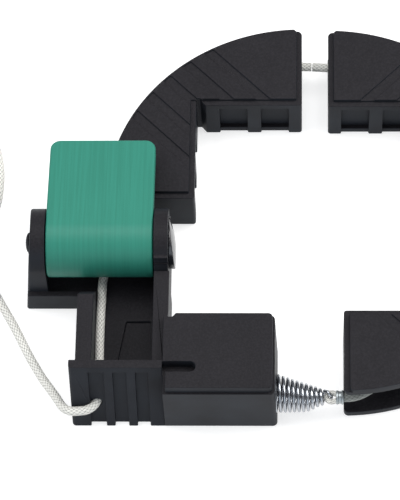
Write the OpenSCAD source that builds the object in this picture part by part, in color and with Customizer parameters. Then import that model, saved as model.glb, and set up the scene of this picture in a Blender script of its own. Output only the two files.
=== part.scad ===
// Cord frame clamp: four corner blocks strung on one braided cord.
// One block holds a cam lever that grips the cord and a spring that keeps it tight.
// Millimetres. +Z is up, the cord's loop lies flat, and -Y is the front.

/* [Cord] */
// Diameter of the braided cord
cord_d = 3.2; // [2.8:0.1:3.4]
// Height of the cord's centreline above the table
cord_z = 10; // [9:0.1:11]
// Play between the cord and what it runs along
cord_play = 0.3; // [0.2:0.05:0.5]
// Gap left between cord stretches that move apart
cord_split = 0.3; // [0.2:0.05:0.6]
// Tightest bend of the cord, at its centreline
cord_bend = 6.4; // [6.4:0.1:8]

/* [Corner blocks] */
// Length of each arm along its jaw face
arm_len = 38.2; // [35:0.2:40]
// Radius of the cord's centreline round a block
wrap_r = 60.2; // [57:0.2:66]
// How far a block's base and roof reach past the cord's centreline
rim = 9.5; // [7:0.5:11]
// Thickness of a block's base
base_t = 3; // [2:0.25:4]
// Height of the open groove between base and roof
groove_h = 14; // [12:0.5:16]
// Thickness of a block's roof
roof_t = 2.5; // [2:0.25:4]
// Height of the raised panel on the roof
panel_t = 1.5; // [1:0.25:2]
// Margin of the roof along the raised panel's straight sides
panel_margin = 2; // [1:0.25:3]

/* [Jaw ribs] */
// Distance from the inner corner to the middle of the first rib
rib_first = 5.9; // [5:0.1:7]
// Distance from rib to rib
rib_pitch = 15; // [13:0.5:16]
// Width of a rib
rib_w = 5; // [3:0.5:7]
// Depth of the pockets between ribs
pocket_d = 2.5; // [2:0.5:4]
// Thickness of the web under a pocket
web_t = 2.5; // [1.5:0.25:3]
// How far the web stands back from the ribs
web_back = 0.8; // [0.4:0.1:1.5]
// Depth of the notch that clears a frame's corner
relief_d = 2.2; // [1.5:0.1:3]
// Width of that notch at its bottom
relief_w = 1.6; // [1:0.1:2.5]
// Width of that notch at the jaw face
relief_mouth = 3.4; // [2.8:0.1:4]
// How far that notch cuts in behind the other jaw face
relief_back = 0.3; // [0.2:0.1:0.8]

/* [Panel grooves] */
// Distance between the diagonal grooves
stripe_pitch = 9.3; // [8:0.1:11]
// Width of a diagonal groove
stripe_w = 3.6; // [2:0.1:5]
// Depth of a diagonal groove
stripe_d = 1; // [0.5:0.1:1.3]

/* [Layout] */
// Place of the tensioner's inner corner, left to right
tensioner_x = -45.5; // [-46.5:0.5:-44.5]
// Place of the tensioner's inner corner, front to back
tensioner_y = -43.2; // [-45:0.2:-43]
// Place of the upper left block's inner corner, left to right
upper_left_x = -37.5; // [-39:0.5:-36]
// Place of the upper left block's inner corner, front to back
upper_left_y = 44.6; // [44.6:0.5:60.6]
// Place of the upper right block's inner corner, left to right
upper_right_x = 48.4; // [48.4:0.5:60]
// Place of the upper right block's inner corner, front to back
upper_right_y = 44; // [44:0.5:60]
// Place of the lower right block's inner corner, left to right
lower_right_x = 53.4; // [53.4:0.5:64.4]
// Place of the lower right block's inner corner, front to back
lower_right_y = -38; // [-39:0.5:-37]

/* [Tensioner arm] */
// Length of the arm along its jaw face
t_arm_len = 36.9; // [34:0.1:38]
// Height of the arm below its raised panel
t_arm_h = 26; // [24:0.5:27]
// Height of the arm's raised panel
t_panel_t = 3.5; // [2:0.25:4]
// Margin of the arm round its raised panel
t_panel_margin = 0.8; // [0.3:0.1:1.5]
// Depth of the slot and the saw line in the panel
t_slot_d = 2.6; // [1:0.1:3]
// Length of the slot
t_slot_len = 9; // [6:0.5:12]
// Width of the slot
t_slot_w = 3; // [2:0.25:4]

/* [Cleat nose] */
// Width of the nose, from its left end to the arm
nose_w = 32.3; // [31:0.1:33]
// Depth of the nose's flat top
nose_top = 3.2; // [2:0.2:5]
// Thickness of the nose at the table
nose_foot = 11.5; // [10:0.1:12]
// Depth of the slots in the nose's sloping face
cleat_d = 1.5; // [1:0.1:2]
// Width of the cleat's left block
cleat_block = 6.7; // [6:0.1:7.2]
// Width of the slot that the cord leaves by
cleat_slot_1 = 5.3; // [4.8:0.1:5.4]
// Width of each narrow rib
cleat_rib = 3.1; // [2.4:0.1:3.2]
// Width of the second slot
cleat_slot_2 = 4.7; // [4.2:0.1:5]
// Width of the third slot
cleat_slot_3 = 4.4; // [4:0.1:4.6]

/* [Cord channel] */
// Width of the channel's left wall
channel_wall_l = 5.5; // [4.5:0.1:5.6]
// Width of the channel's right wall
channel_wall_r = 5.4; // [5:0.1:5.4]
// Height of the channel's walls
channel_h = 26; // [24:0.5:28]
// Length of the slope at the back end of the left wall
wall_slope = 9; // [7:0.5:12]
// Length of the channel, from the housing to the nose
channel_len = 34.1; // [33:0.1:36]
// Width of the pocket in the channel's floor
floor_pocket_w = 8.7; // [6:0.1:9]
// Length of the pocket in the channel's floor
floor_pocket_len = 16.6; // [12:0.2:20]
// Depth of the pocket in the channel's floor
floor_pocket_d = 1; // [0.5:0.25:3]

/* [Lever housing] */
// Height of the lever's pivot above the table
pivot_z = 24.15; // [24:0.05:25]
// Distance from the front of the housing to the pivot
pivot_front = 13.9; // [12.8:0.1:14]
// Distance from the back of the housing to the pivot
pivot_back = 12; // [11.5:0.1:13]
// Radius of the ears round the pivot
ear_r = 12; // [11:0.25:13]
// Thickness of the left ear
ear_l_t = 6.1; // [5:0.1:7]
// Thickness of the right ear
ear_r_t = 5; // [4.5:0.1:6]
// How far the right ear stands back from the jaw face
ear_step = 0.4; // [0.2:0.1:0.8]
// Play between the lever and each ear
lever_play = 0.3; // [0.2:0.05:0.5]
// Height of the low wall in front of the lever
bay_wall_h = 10.2; // [9.4:0.2:11]
// Thickness of that wall
bay_wall_t = 2; // [1.5:0.1:2.2]
// Radius of the fillet between the right ear and the channel's wall
ear_fillet = 6; // [4:0.5:7]
// Lean of the housing's outer face, in mm of width per mm of height
housing_lean = 0.088; // [0:0.004:0.1]

/* [Lever] */
// Width of the lever
lever_w = 37.4; // [36:0.2:39]
// Radius of the cam that presses on the cord
cam_r = 11.8; // [11.4:0.05:11.85]
// How far the cam's centre lies below the pivot when the lever is shut
cam_throw = 0.6; // [0.4:0.05:0.8]
// Distance from the pivot to the paddle's tip
paddle_reach = 38.7; // [35:0.1:42]
// Thickness of the paddle
paddle_t = 5; // [4:0.25:5.25]
// Slope of the paddle towards its tip, in degrees
paddle_slope = 9; // [7:0.5:10]
// Corner radius of the paddle's tip
paddle_round = 3.7; // [2:0.1:6]

/* [Pivot pin] */
// Diameter of the pin
pin_d = 5; // [4:0.1:6]
// Clearance of the lever's bore round the pin, each side
pin_clear = 0.05; // [0.02:0.01:0.09]
// Diameter of the pin's domed head
pin_head_d = 7.3; // [6:0.1:9]
// Height of the head outside the ear
pin_head_t = 1.3; // [0.8:0.1:2]
// Radius of the cap on the pin's other end
cap_r = 9.25; // [8:0.25:10]
// Thickness of that cap
cap_t = 2.4; // [1.5:0.1:3]
// Distance from the pin's axis to the cap's flat lower edge
cap_flat = 6.5; // [5:0.25:8]

/* [Spring] */
// Wire diameter of the conical spring
wire_d = 1; // [0.8:0.05:1.1]
// Outside diameter of the spring's wide end
spring_d_wide = 13.9; // [13:0.1:14]
// Outside diameter of the spring's narrow end
spring_d_slim = 5.5; // [5.2:0.1:6]
// Length of the spring's coils, middle to middle of the wire
spring_len = 17.7; // [17:0.1:18.5]
// Number of curls
spring_curls = 11; // [10:1:11]
// Depth of the seat for the spring's wide end
seat_d = 1.2; // [0.8:0.1:2]
// Distance from the arm's front face to the spring's axis at its wide end
spring_front = 8.2; // [7.6:0.05:8.2]
// How far the narrow end's axis lies in front of the wide end's
spring_drop = 1.75; // [1:0.05:2]

/* [Cord end] */
// Diameter of the cord where it is drawn tight in its eye
eye_d = 1.9; // [1.7:0.05:2]
// Distance from the spring's last curl to the hook's middle
hook_reach = 2.4; // [2.3:0.1:2.8]
// Distance from the middle of the hook to the ferrule
eye_len = 1.5; // [1.4:0.1:2.4]
// Outside diameter of the crimped ferrule
ferrule_d = 5; // [4.8:0.1:5.4]
// Length of the ferrule
ferrule_len = 2.8; // [2.4:0.1:4]
// How far the ferrule lies outside the circle of the lower right block's cord
ferrule_out = 7; // [5:0.2:7]
// How far the cord runs straight into the lower right block
run_in = 1; // [0.5:0.25:3]
// Where the cord then meets the block's curve, in degrees
run_turn = 20; // [18:1:28]
// Radius of the cord's bend under the cam
lead_bend = 20; // [12:1:30]

/* [Coil] */
// Gap between the coil's turns
coil_gap = 0.5; // [0.45:0.05:0.7]
// Radius of the innermost turn, at its centreline
coil_r_in = 10.85; // [10:0.05:12]
// Turns in each layer
coil_turns = 4.5; // [3.5, 4.5]
// Layers
coil_layers = 4; // [2, 4]
// Place of the coil's middle, left to right
coil_x = -141.6; // [-143:0.2:-140]
// Place of the coil's middle, front to back
coil_y = 36; // [35:0.2:37]
// Thickness of the tie round the coil
tie_t = 0.8; // [0.5:0.1:1.2]
// Width of the tie
tie_w = 6; // [4:0.5:8]
// Diameter of the sleeve on the cord's end
tip_d = 3.8; // [3.5:0.1:4]
// Length of that sleeve
tip_len = 10; // [8:0.5:12]

/* [Hidden] */
$fn = 96;
eps = 0.01;

// Corner blocks
bow_r = wrap_r + rim;
roof_z = base_t + groove_h;
deck_z = roof_z + roof_t;
block_h = deck_z + panel_t;
core_r = wrap_r - cord_d / 2 - cord_play;
split_angle = cord_split / wrap_r * 180 / PI;

// Centres of the blocks' curves
ul_c = [upper_left_x + arm_len, upper_left_y - arm_len];
ur_c = [upper_right_x - arm_len, upper_right_y - arm_len];
lr_c = [lower_right_x - arm_len, lower_right_y + arm_len];

// Tensioner, measured from its inner corner
arm_right = tensioner_x + t_arm_len;
spring_y1 = lr_c.y - wrap_r - ferrule_out;
spring_y0 = spring_y1 + spring_drop;
arm_front = spring_y0 - spring_front;
arm_top = t_arm_h + t_panel_t;
nose_right = tensioner_x - 1.5;
nose_left = nose_right - nose_w;
nose_back = arm_front + nose_foot;
wall_l_out = nose_left + 2;
wall_l_in = wall_l_out + channel_wall_l;
wall_r_in = tensioner_x - channel_wall_r;
channel_back = nose_back + channel_len;
cord_x = wall_l_in + cord_d / 2 + 0.4;
floor_z = cord_z - cord_d / 2 - 0.2;
slot_1 = nose_left + cleat_block;
slot_2 = slot_1 + cleat_slot_1 + cleat_rib;
slot_3 = slot_2 + cleat_slot_2 + cleat_rib;

// Housing
ear_out_r = tensioner_x - ear_step;
ear_in_r = ear_out_r - ear_r_t;
lever_right = ear_in_r - lever_play;
lever_left = lever_right - lever_w;
ear_in_l = lever_left - lever_play;
housing_left = ear_in_l - ear_l_t;
bay_front = channel_back;
bay_back = bay_front + bay_wall_t;
pivot_y = bay_front + pivot_front;
housing_back = pivot_y + pivot_back;
cap_right = ear_out_r + cap_t;

// Spring and cord end
seat_x = arm_right - seat_d;
spring_x0 = seat_x + wire_d / 2 + 0.1;
spring_x1 = spring_x0 + spring_len;
hook_x = spring_x1 + hook_reach;
eye_r = (wire_d + eye_d) / 2 + 0.25;
ferrule_x = hook_x + eye_len;
run_x = ferrule_x + ferrule_len * 0.7;

// Coil
turn_pitch = cord_d + coil_gap;
coil_r_out = coil_r_in + turn_pitch * coil_turns;
coil_z = tie_t + 0.1 + cord_d / 2;
coil_total = coil_turns * coil_layers - 0.5;
tip_r = coil_r_out - turn_pitch / 2;

// The origin is the middle of everything but the free cord, on the table.
outer_right = lr_c.x + bow_r;
outer_back = ul_c.y + bow_r;
housing_foot = housing_left - housing_lean * pivot_z;
mid = [(min(housing_foot, housing_left - pin_head_t) + outer_right) / 2, (arm_front + outer_back) / 2, 0];

black = [0.09, 0.09, 0.1];
green = [0.09, 0.5, 0.37];
cream = [0.9, 0.89, 0.84];
zinc = [0.72, 0.73, 0.75];

// ---------- Helpers ----------

function unit(v) = v / norm(v);
function smooth(t) = let (u = min(max(t, 0), 1)) u * u * (3 - 2 * u);
function polar(c, r, a, z) = [c.x + r * cos(a), c.y + r * sin(a), z];
function mix(a, b, t) = a + (b - a) * t;

// Points on an arc about c, from angle a0 to angle a1, in n steps.
function arc(c, r, a0, a1, n, z) = [for (i = [0:n]) polar(c, r, mix(a0, a1, i / n), z)];

// Heading of the straight run from one circle to the next, where both lie to its right.
function belt(c1, r1, c2, r2) =
    let (v = c2 - c1)
    90 + atan2(v.y, v.x) - acos((r2 - r1) / norm(v));

// Length of a path.
function path_len(p) = len(p) < 2 ? 0 : [for (i = [1:len(p) - 1]) norm(p[i] - p[i - 1])]
    * [for (i = [1:len(p) - 1]) 1];

// A smooth curve through hand-placed points, n steps from each to the next.
function spline(p, n) = [
    for (i = [0:len(p) - 2])
        for (k = [0:(i == len(p) - 2 ? n : n - 1)])
            let (
                t = k / n,
                a = p[max(i - 1, 0)],
                b = p[i],
                c = p[i + 1],
                d = p[min(i + 2, len(p) - 1)]
            )
            0.5 * (2 * b + (c - a) * t + (2 * a - 5 * b + 4 * c - d) * t * t
                + (3 * b - a - 3 * c + d) * t * t * t)
];

// The direction of a path at each point, and a normal carried along it without twist.
function headings(p) = [
    for (i = [0:len(p) - 1]) unit(p[min(i + 1, len(p) - 1)] - p[max(i - 1, 0)])
];
function settle(n, t) = unit(n - (n * t) * t);
function normals(t) = [
    for (
        i = 0, n = settle(abs(t[0].z) < 0.8 ? [0, 0, 1] : [1, 0, 0], t[0]);
        i < len(t);
        i = i + 1, n = settle(n, t[min(i, len(t) - 1)])
    ) n
];

// Smallest gap between stretches of a tube that are more than skip points apart.
function least_gap(p, d, skip) = min([
    for (i = [0:len(p) - 1])
        for (j = [i + skip:1:len(p) - 1]) norm(p[i] - p[j])
]) - d;

// A round tube swept along a path.
module tube(path, d, sides) {
    t = headings(path);
    n = normals(t);
    rings = [
        for (i = [0:len(path) - 1])
            for (k = [0:sides - 1])
                path[i] + d / 2 * (cos(360 * k / sides) * n[i]
                    + sin(360 * k / sides) * cross(t[i], n[i]))
    ];
    last = (len(path) - 1) * sides;
    walls = [
        for (i = [0:len(path) - 2])
            for (k = [0:sides - 1])
                let (a = i * sides + k, b = i * sides + (k + 1) % sides)
                each [[a, a + sides, b + sides], [a, b + sides, b]]
    ];
    caps = [
        for (k = [1:sides - 2]) each [[0, k, k + 1], [last, last + k + 1, last + k]]
    ];
    polyhedron(rings, concat(walls, caps));
}

module cord_tube(path) color(cream) seat() tube(path, cord_d, 8);

// Moves the working layout so that the origin is the clamp's middle.
module seat() translate(-mid) children();

module slab(a, b) translate(a) cube(b - a);

// Sweeps a side view, drawn as [y, z], from x0 to x1.
module along_x(x0, x1) translate([x0, 0, 0]) rotate([90, 0, 90]) linear_extrude(x1 - x0) children();

// A rectangle with round corners, built from plain circles.
module round_rect(a, b, r) {
    translate([a.x + r, a.y]) square([b.x - a.x - 2 * r, b.y - a.y]);
    translate([a.x, a.y + r]) square([b.x - a.x, b.y - a.y - 2 * r]);
    for (x = [a.x + r, b.x - r], y = [a.y + r, b.y - r]) translate([x, y]) circle(r);
}

// ---------- Corner blocks ----------

// Plan of a block: the arms run along +X and -Y from the inner corner at the origin.
module block_plan(r, margin) {
    difference() {
        intersection() {
            translate([arm_len, -arm_len]) circle(r, $fn = 180);
            translate([-bow_r, margin - arm_len]) square(bow_r + arm_len - margin);
        }
        translate([-margin, margin - 2 * bow_r]) square(2 * bow_r);
    }
}

// Pockets between the ribs of the jaw face that looks to -Y.
module jaw_pockets() {
    for (x = [rib_first + rib_w / 2:rib_pitch:arm_len]) {
        w = min(rib_pitch - rib_w, arm_len - x + 1);
        translate([x, -1, web_t]) cube([w, pocket_d + 1, roof_z - web_t]);
        translate([x, -1, -1]) cube([w, web_back + 1, web_t + 1 + eps]);
    }
}

// Plan of the notch at the inner corner, where both jaw faces end.
module relief_plan() {
    polygon([
        [0, -1], [0, 0], [-relief_back, 0], [-relief_back, relief_d], [relief_w, relief_d],
        [relief_mouth, 0], [relief_mouth, -1]
    ]);
}

module corner_block() {
    color(black) difference() {
        union() {
            linear_extrude(base_t) block_plan(bow_r, 0);
            linear_extrude(deck_z) block_plan(core_r, 0);
            translate([0, 0, roof_z]) linear_extrude(roof_t) block_plan(bow_r, 0);
            translate([0, 0, roof_z + 1]) linear_extrude(block_h - roof_z - 1)
                block_plan(bow_r, panel_margin);
        }
        jaw_pockets();
        mirror([1, 1, 0]) jaw_pockets();
        translate([0, 0, -1]) linear_extrude(block_h + 2) relief_plan();
        for (k = [-2:2]) {
            rotate([0, 0, 45])
                translate([k * stripe_pitch - stripe_w / 2, -bow_r, block_h - stripe_d])
                cube([stripe_w, 2 * bow_r, stripe_d + 1]);
        }
    }
}

module corner_upper_left() seat() translate([upper_left_x, upper_left_y, 0]) corner_block();

module corner_upper_right() {
    seat() translate([upper_right_x, upper_right_y, 0]) rotate([0, 0, -90]) corner_block();
}

module corner_lower_right() {
    seat() translate([lower_right_x, lower_right_y, 0]) rotate([0, 0, 180]) corner_block();
}

// ---------- Tensioner ----------

// Side view of an ear, as [y, z].
module ear_side() {
    translate([pivot_y, pivot_z]) circle(ear_r);
    translate([pivot_y - ear_r, 0]) square([housing_back - pivot_y + ear_r, pivot_z]);
    translate([bay_front, 0]) square([housing_back - bay_front, bay_wall_h]);
}

// Side view of the nose, as [y, z]; back moves its sloping face.
module nose_side(back) {
    polygon([
        [nose_back, 0], [arm_front + back, 0], [nose_back - nose_top + back, arm_top],
        [nose_back, arm_top]
    ]);
}

module nose_slot(x, w) {
    along_x(x, x + w) difference() {
        translate([arm_front - 2, -1]) square([nose_foot, arm_top - 1.4]);
        nose_side(cleat_d);
    }
}

// The way that the cord leaves by: straight out of the channel, then round to the left.
module cord_exit() {
    bore = cord_d / 2 + cord_play;
    bend_y = arm_front + cord_bend + 1.1;
    translate([cord_x, bend_y, cord_z]) rotate([-90, 0, 0])
        cylinder(r = bore, h = nose_back - bend_y + 1);
    translate([cord_x - cord_bend, bend_y, cord_z]) rotate([0, 0, -90])
        rotate_extrude(angle = 90) translate([cord_bend, 0]) circle(bore);
    translate([cord_x - cord_bend, bend_y - cord_bend, cord_z]) rotate([0, -90, 0])
        cylinder(r = bore, h = cord_bend);
}

module tensioner_solids() {
    // Arm and its raised panel
    slab([nose_right, arm_front, 0], [arm_right, tensioner_y, t_arm_h]);
    translate([0, 0, t_arm_h - 1]) linear_extrude(t_panel_t + 1) round_rect(
        [nose_right, arm_front + t_panel_margin],
        [arm_right - t_panel_margin, tensioner_y - t_panel_margin], 1.5
    );
    // Nose with its cleat
    along_x(nose_left, nose_right) nose_side(0);
    // Channel
    slab([wall_l_out, nose_back - 1, 0], [tensioner_x, channel_back + 1, floor_z]);
    along_x(wall_l_out, wall_l_in) polygon([
        [nose_back - 1, 0], [bay_back, 0], [bay_back, bay_wall_h],
        [bay_back - wall_slope, channel_h], [nose_back - 1, channel_h]
    ]);
    slab([wall_r_in, nose_back - 1, 0], [tensioner_x, bay_back, channel_h]);
    slab([nose_right - 1, nose_back - 1, 0], [tensioner_x, tensioner_y + 1, channel_h]);
    // Housing
    difference() {
        union() {
            slab([housing_foot, bay_front, 0], [ear_out_r, housing_back, floor_z]);
            slab([housing_foot, bay_front, 0], [wall_l_in, bay_back, bay_wall_h]);
            along_x(housing_foot, ear_in_l) ear_side();
        }
        translate([housing_left, 0, pivot_z]) rotate([0, atan(housing_lean), 0])
            translate([-10, -40, -40]) cube([10, 80, 80]);
    }
    along_x(ear_in_r, ear_out_r) ear_side();
    // Fillet from the right ear down to the channel's wall
    rise = channel_h + ear_fillet - pivot_z;
    foot = pivot_y - sqrt(pow(ear_r + ear_fillet, 2) - pow(rise, 2));
    along_x(ear_in_r, ear_out_r) difference() {
        polygon([
            [foot, channel_h - 1], [pivot_y, channel_h - 1], [pivot_y, pivot_z],
            [foot, pivot_z + rise]
        ]);
        translate([foot, pivot_z + rise]) circle(ear_fillet);
    }
}

module tensioner_body() {
    color(black) seat() difference() {
        tensioner_solids();
        nose_slot(slot_1, cleat_slot_1);
        nose_slot(slot_2, cleat_slot_2);
        nose_slot(slot_3, cleat_slot_3);
        cord_exit();
        // Pocket in the channel's floor
        translate([wall_r_in - 1.5 - floor_pocket_w, channel_back - 9, floor_z - floor_pocket_d])
            mirror([0, 1, 0]) linear_extrude(floor_pocket_d + 1) polygon([
                [0, 0], [floor_pocket_w, 0], [floor_pocket_w, floor_pocket_len],
                [-2.8, floor_pocket_len]
            ]);
        // Slot and saw line in the panel
        translate([tensioner_x - 0.5, arm_front + 8, arm_top - t_slot_d])
            linear_extrude(t_slot_d + 1) polygon([
                [0, 0], [t_slot_len - 1.5, 0], [t_slot_len, t_slot_w / 2],
                [t_slot_len - 1.5, t_slot_w], [0, t_slot_w]
            ]);
        translate([nose_right - eps, arm_front - 1, t_arm_h]) cube([1, 11, t_panel_t + 1]);
        // Notch that clears a frame's corner
        translate([tensioner_x, tensioner_y, -1]) mirror([0, 1, 0]) linear_extrude(arm_top + 2)
            relief_plan();
        // Spring's seat
        translate([seat_x, spring_y0, cord_z]) rotate([0, 90, 0])
            cylinder(d = spring_d_wide + 0.2, h = seat_d + 1);
        // Pin's holes
        translate([housing_left - 2, pivot_y, pivot_z]) rotate([0, 90, 0])
            cylinder(d = pin_d, h = tensioner_x - housing_left + 3);
        // Flat under the pin's head
        translate([housing_left - 3, pivot_y, pivot_z]) rotate([0, 90, 0])
            cylinder(d = pin_head_d + 0.2, h = 3);
    }
}

module pivot_pin() {
    color(black) seat() translate([housing_left, pivot_y, pivot_z]) rotate([0, 90, 0])
        rotate_extrude() {
            square([pin_d / 2, cap_right - housing_left - 0.4]);
            translate([0, -pin_head_t / 2]) square([pin_head_d / 2, pin_head_t / 2]);
            intersection() {
                translate([0, -pin_head_t]) square([pin_head_d / 2, pin_head_t]);
                translate([0, pin_head_d - pin_head_t]) circle(pin_head_d);
            }
        }
}

module pin_cap() {
    color(black) seat() translate([ear_out_r, pivot_y, pivot_z]) rotate([0, 90, 0]) difference() {
        cylinder(r = cap_r, h = cap_t);
        translate([cap_flat, -cap_r, -1]) cube([cap_r, 2 * cap_r, cap_t + 2]);
        translate([0, 0, -1]) cylinder(d = pin_d, h = cap_t + 1 - 0.4);
    }
}

// ---------- Lever ----------

// Side view of the lever from its pivot, as [y, z].
module lever_side() {
    n = 90 - paddle_slope;
    top = [cam_r * cos(n), cam_r * sin(n) - cam_throw];
    reach = (paddle_reach - top.x) / cos(paddle_slope);
    translate([0, -cam_throw]) circle(cam_r);
    translate(top) rotate(-paddle_slope) {
        translate([0, -paddle_t]) square([reach - 1.5, paddle_t]);
        translate([0, 1.5 - paddle_t]) square([reach, paddle_t - 3]);
        translate([reach - 1.5, -1.5]) circle(1.5);
        translate([reach - 1.5, 1.5 - paddle_t]) circle(1.5);
    }
}

module lever() {
    color(green) seat() translate([0, pivot_y, pivot_z]) difference() {
        intersection() {
            along_x(lever_left, lever_right) lever_side();
            translate([0, 0, -2 * ear_r]) linear_extrude(4 * ear_r) round_rect(
                [lever_left, -3 * ear_r], [lever_right, paddle_reach + eps], paddle_round
            );
        }
        translate([lever_left - 1, 0, 0]) rotate([0, 90, 0])
            cylinder(d = pin_d + 2 * pin_clear, h = lever_w + 2);
    }
}

// ---------- Spring and cord end ----------

// Middle and radius of the spring's wire, u from 0 at the wide end to 1 at the narrow end.
function spring_top(u) = mix(spring_y0 + spring_d_wide / 2, spring_y1 + spring_d_slim / 2, u);
function spring_low(u) =
    mix(spring_y0 - spring_d_wide / 2, spring_y1 - spring_d_slim / 2, smooth((u - 0.6) / 0.4));
function spring_at(u, a) =
    let (r = (spring_top(u) - spring_low(u) - wire_d) / 2, y = (spring_top(u) + spring_low(u)) / 2)
    [mix(spring_x0, spring_x1, u), y + r * cos(a), cord_z + r * sin(a)];

// Curls, then a hook that turns down through the spring's axis.
function spring_path() = concat(
    [
        for (i = [0:8 * spring_curls + 1])
            spring_at(i / (8 * spring_curls + 1), 45 * i - 20)
    ],
    [
        for (p = [[1.2, 0.9, 2.5], [2, 0, 2.1], [2.6, 0, 1.2], [2.7, 0, 0], [2.5, 0, -1.2], [1.9, 0, -2], [1, 0, -2.1]])
            [spring_x1 + p.x * hook_reach / 2.7, spring_y1 + p.y, cord_z + p.z]
    ]
);

module spring() {
    path = spring_path();
    echo(str("spring: least gap of the wire to itself ", least_gap(path, wire_d, 5), " mm"));
    color(zinc) seat() tube(path, wire_d, 6);
}

// The cord's end, doubled back round the spring's hook.
module cord_eye() {
    c = [hook_x, spring_y1];
    in = ferrule_x + ferrule_len * 0.65;
    neck = eye_d / 2 + 0.25;
    path = concat(
        [[in, c.y + neck, cord_z], [ferrule_x + 0.3, c.y + neck, cord_z]],
        arc(c, eye_r, 80, 280, 10, cord_z),
        [[ferrule_x + 0.3, c.y - neck, cord_z], [in, c.y - neck, cord_z]]
    );
    color(cream) seat() tube(path, eye_d, 8);
}

module ferrule() {
    color(zinc) seat() translate([ferrule_x, spring_y1, cord_z]) rotate([0, 90, 0])
        cylinder(d = ferrule_d, h = ferrule_len);
}

// ---------- Cord round the blocks ----------

// Headings of the straight runs, and the angles at which the cord meets each block.
left_bend_c = [cord_x + lead_bend, bay_front + 4];
left_heading = belt(left_bend_c, lead_bend, ul_c, wrap_r);
top_heading = belt(ul_c, wrap_r, ur_c, wrap_r);
ul_in = left_heading + 90;
ur_out = 25;
lr_in = -8;
lr_out = run_turn - 90;

// An exact ring segment of cord about c.
module cord_arc(c, a0, a1) {
    color(cream) seat() translate([c.x, c.y, cord_z]) rotate([0, 0, a0])
        rotate_extrude(angle = a1 - a0) translate([wrap_r, 0]) circle(d = cord_d, $fn = 32);
}

module cord_arc_upper_left() cord_arc(ul_c, top_heading + 90 + split_angle, ul_in - split_angle);

module cord_arc_upper_right() cord_arc(ur_c, ur_out + split_angle, top_heading + 90 - split_angle);

module cord_arc_lower_right() cord_arc(lr_c, lr_out + split_angle, lr_in - split_angle);

module cord_run_left() {
    cord_tube(concat(
        arc(left_bend_c, lead_bend, 180, ul_in, 4, cord_z),
        [
            for (t = [0.2:0.2:1])
                mix(
                    polar(left_bend_c, lead_bend, ul_in, cord_z),
                    polar(ul_c, wrap_r, ul_in, cord_z), t
                )
        ]
    ));
}

module cord_run_top() {
    a = polar(ul_c, wrap_r, top_heading + 90, cord_z);
    b = polar(ur_c, wrap_r, top_heading + 90, cord_z);
    cord_tube([a, mix(a, b, 0.5), b]);
}

// A curve from p, heading along v, to q, heading along w.
function ease(p, v, q, w, n) = [
    for (i = [0:n])
        let (t = i / n)
        p * (1 - 3 * t * t + 2 * t * t * t) + v * (t - 2 * t * t + t * t * t)
            + q * (3 * t * t - 2 * t * t * t) + w * (t * t * t - t * t)
];

// A gentle bend from the upper right block's groove into the lower right block's.
module cord_run_right() {
    p = polar(ur_c, wrap_r, ur_out, cord_z);
    q = polar(lr_c, wrap_r, lr_in, cord_z);
    m = norm(q - p);
    cord_tube(ease(
        p, m * [sin(ur_out), -cos(ur_out), 0], q, m * [sin(lr_in), -cos(lr_in), 0], 10
    ));
}

// Straight out of the ferrule, then in under the lower right block's roof.
module cord_run_bottom() {
    p = [lr_c.x + run_in, spring_y1, cord_z];
    q = polar(lr_c, wrap_r, lr_out, cord_z);
    m = norm(q - p);
    cord_tube(concat(
        [[run_x, spring_y1, cord_z]],
        ease(p, m * [1, 0, 0], q, m * [-sin(lr_out), cos(lr_out), 0], 14)
    ));
}

// From under the cam to the mouth of the exit.
module cord_channel() {
    a = [cord_x, left_bend_c.y - 0.01, cord_z];
    b = [cord_x, nose_back - 0.4, cord_z];
    cord_tube([for (t = [0:0.2:1]) mix(a, b, t)]);
}

// ---------- Free cord ----------

// Round the nose's left end, down to the table and along it to the coil.
tail_route = [
    [-76.8, -72.35, 9.9], [-79.9, -72, 9.3], [-82.5, -69.8, 8.1], [-84.7, -65.8, 6.2],
    [-87, -61.8, 4.4], [-89.5, -57.8, 2.8], [-92, -53.5, 1.9], [-94.6, -48.9, 1.6],
    [-97.1, -44.1, 1.6], [-99.5, -39.2, 1.6], [-102, -34.4, 1.6], [-104.5, -30, 1.6],
    [-107, -25.6, 1.6], [-109.6, -20.2, 1.6], [-111.3, -13.5, 1.6], [-112, -6, 1.6],
    [-111.6, 2, 1.6], [-110.4, 10, 1.6], [-109.2, 18.5, 1.6], [-109.2, 27.5, 1.6],
    [-110.8, 36, 1.7], [-114, 44.5, 1.9], [-119.2, 52.3, 2.2], [-126.2, 58.8, 2.4],
    [-134, 62.6, 2.5]
];

module cord_tail() {
    bend_y = arm_front + cord_bend + 1.1;
    from = [cord_x, nose_back - 0.4, cord_z];
    turn = arc([cord_x - cord_bend, bend_y], cord_bend, 0, -75, 5, cord_z);
    to = [coil_x, coil_y + coil_r_out, coil_z];
    path = concat(
        [from],
        turn,
        spline(concat(tail_route, [to + [cord_d, 0, 0]]), 2),
        [to]
    );
    echo(str("cord_tail: length ", path_len(path), " mm, ", len(path), " rings"));
    cord_tube(path);
}

// Layers spiral in and out by turns. The cord climbs a layer in the half turn
// in which its spiral reverses.
function coil_r(t) =
    let (k = floor(t / coil_turns), s = t - k * coil_turns)
    k % 2 == 0 ? coil_r_out - turn_pitch * s : coil_r_in + turn_pitch * s;
function coil_h(t, k = 1) =
    k >= coil_layers ? coil_z
        : coil_h(t, k + 1) + turn_pitch * smooth((t - k * coil_turns) * 2 + 0.5);
function coil_path() = concat(
    [
        for (i = [0:24 * coil_total])
            polar([coil_x, coil_y], coil_r(i / 24), 90 + 15 * i, coil_h(i / 24))
    ],
    [[coil_x + cord_d, coil_y - coil_r(coil_total), coil_h(coil_total)]]
);

module cord_coil() {
    path = coil_path();
    echo(str("cord_coil: length ", path_len(path), " mm, least gap to itself ",
        least_gap(path, cord_d, 12), " mm"));
    color(cream) seat() tube(path, cord_d, 6);
}

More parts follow.
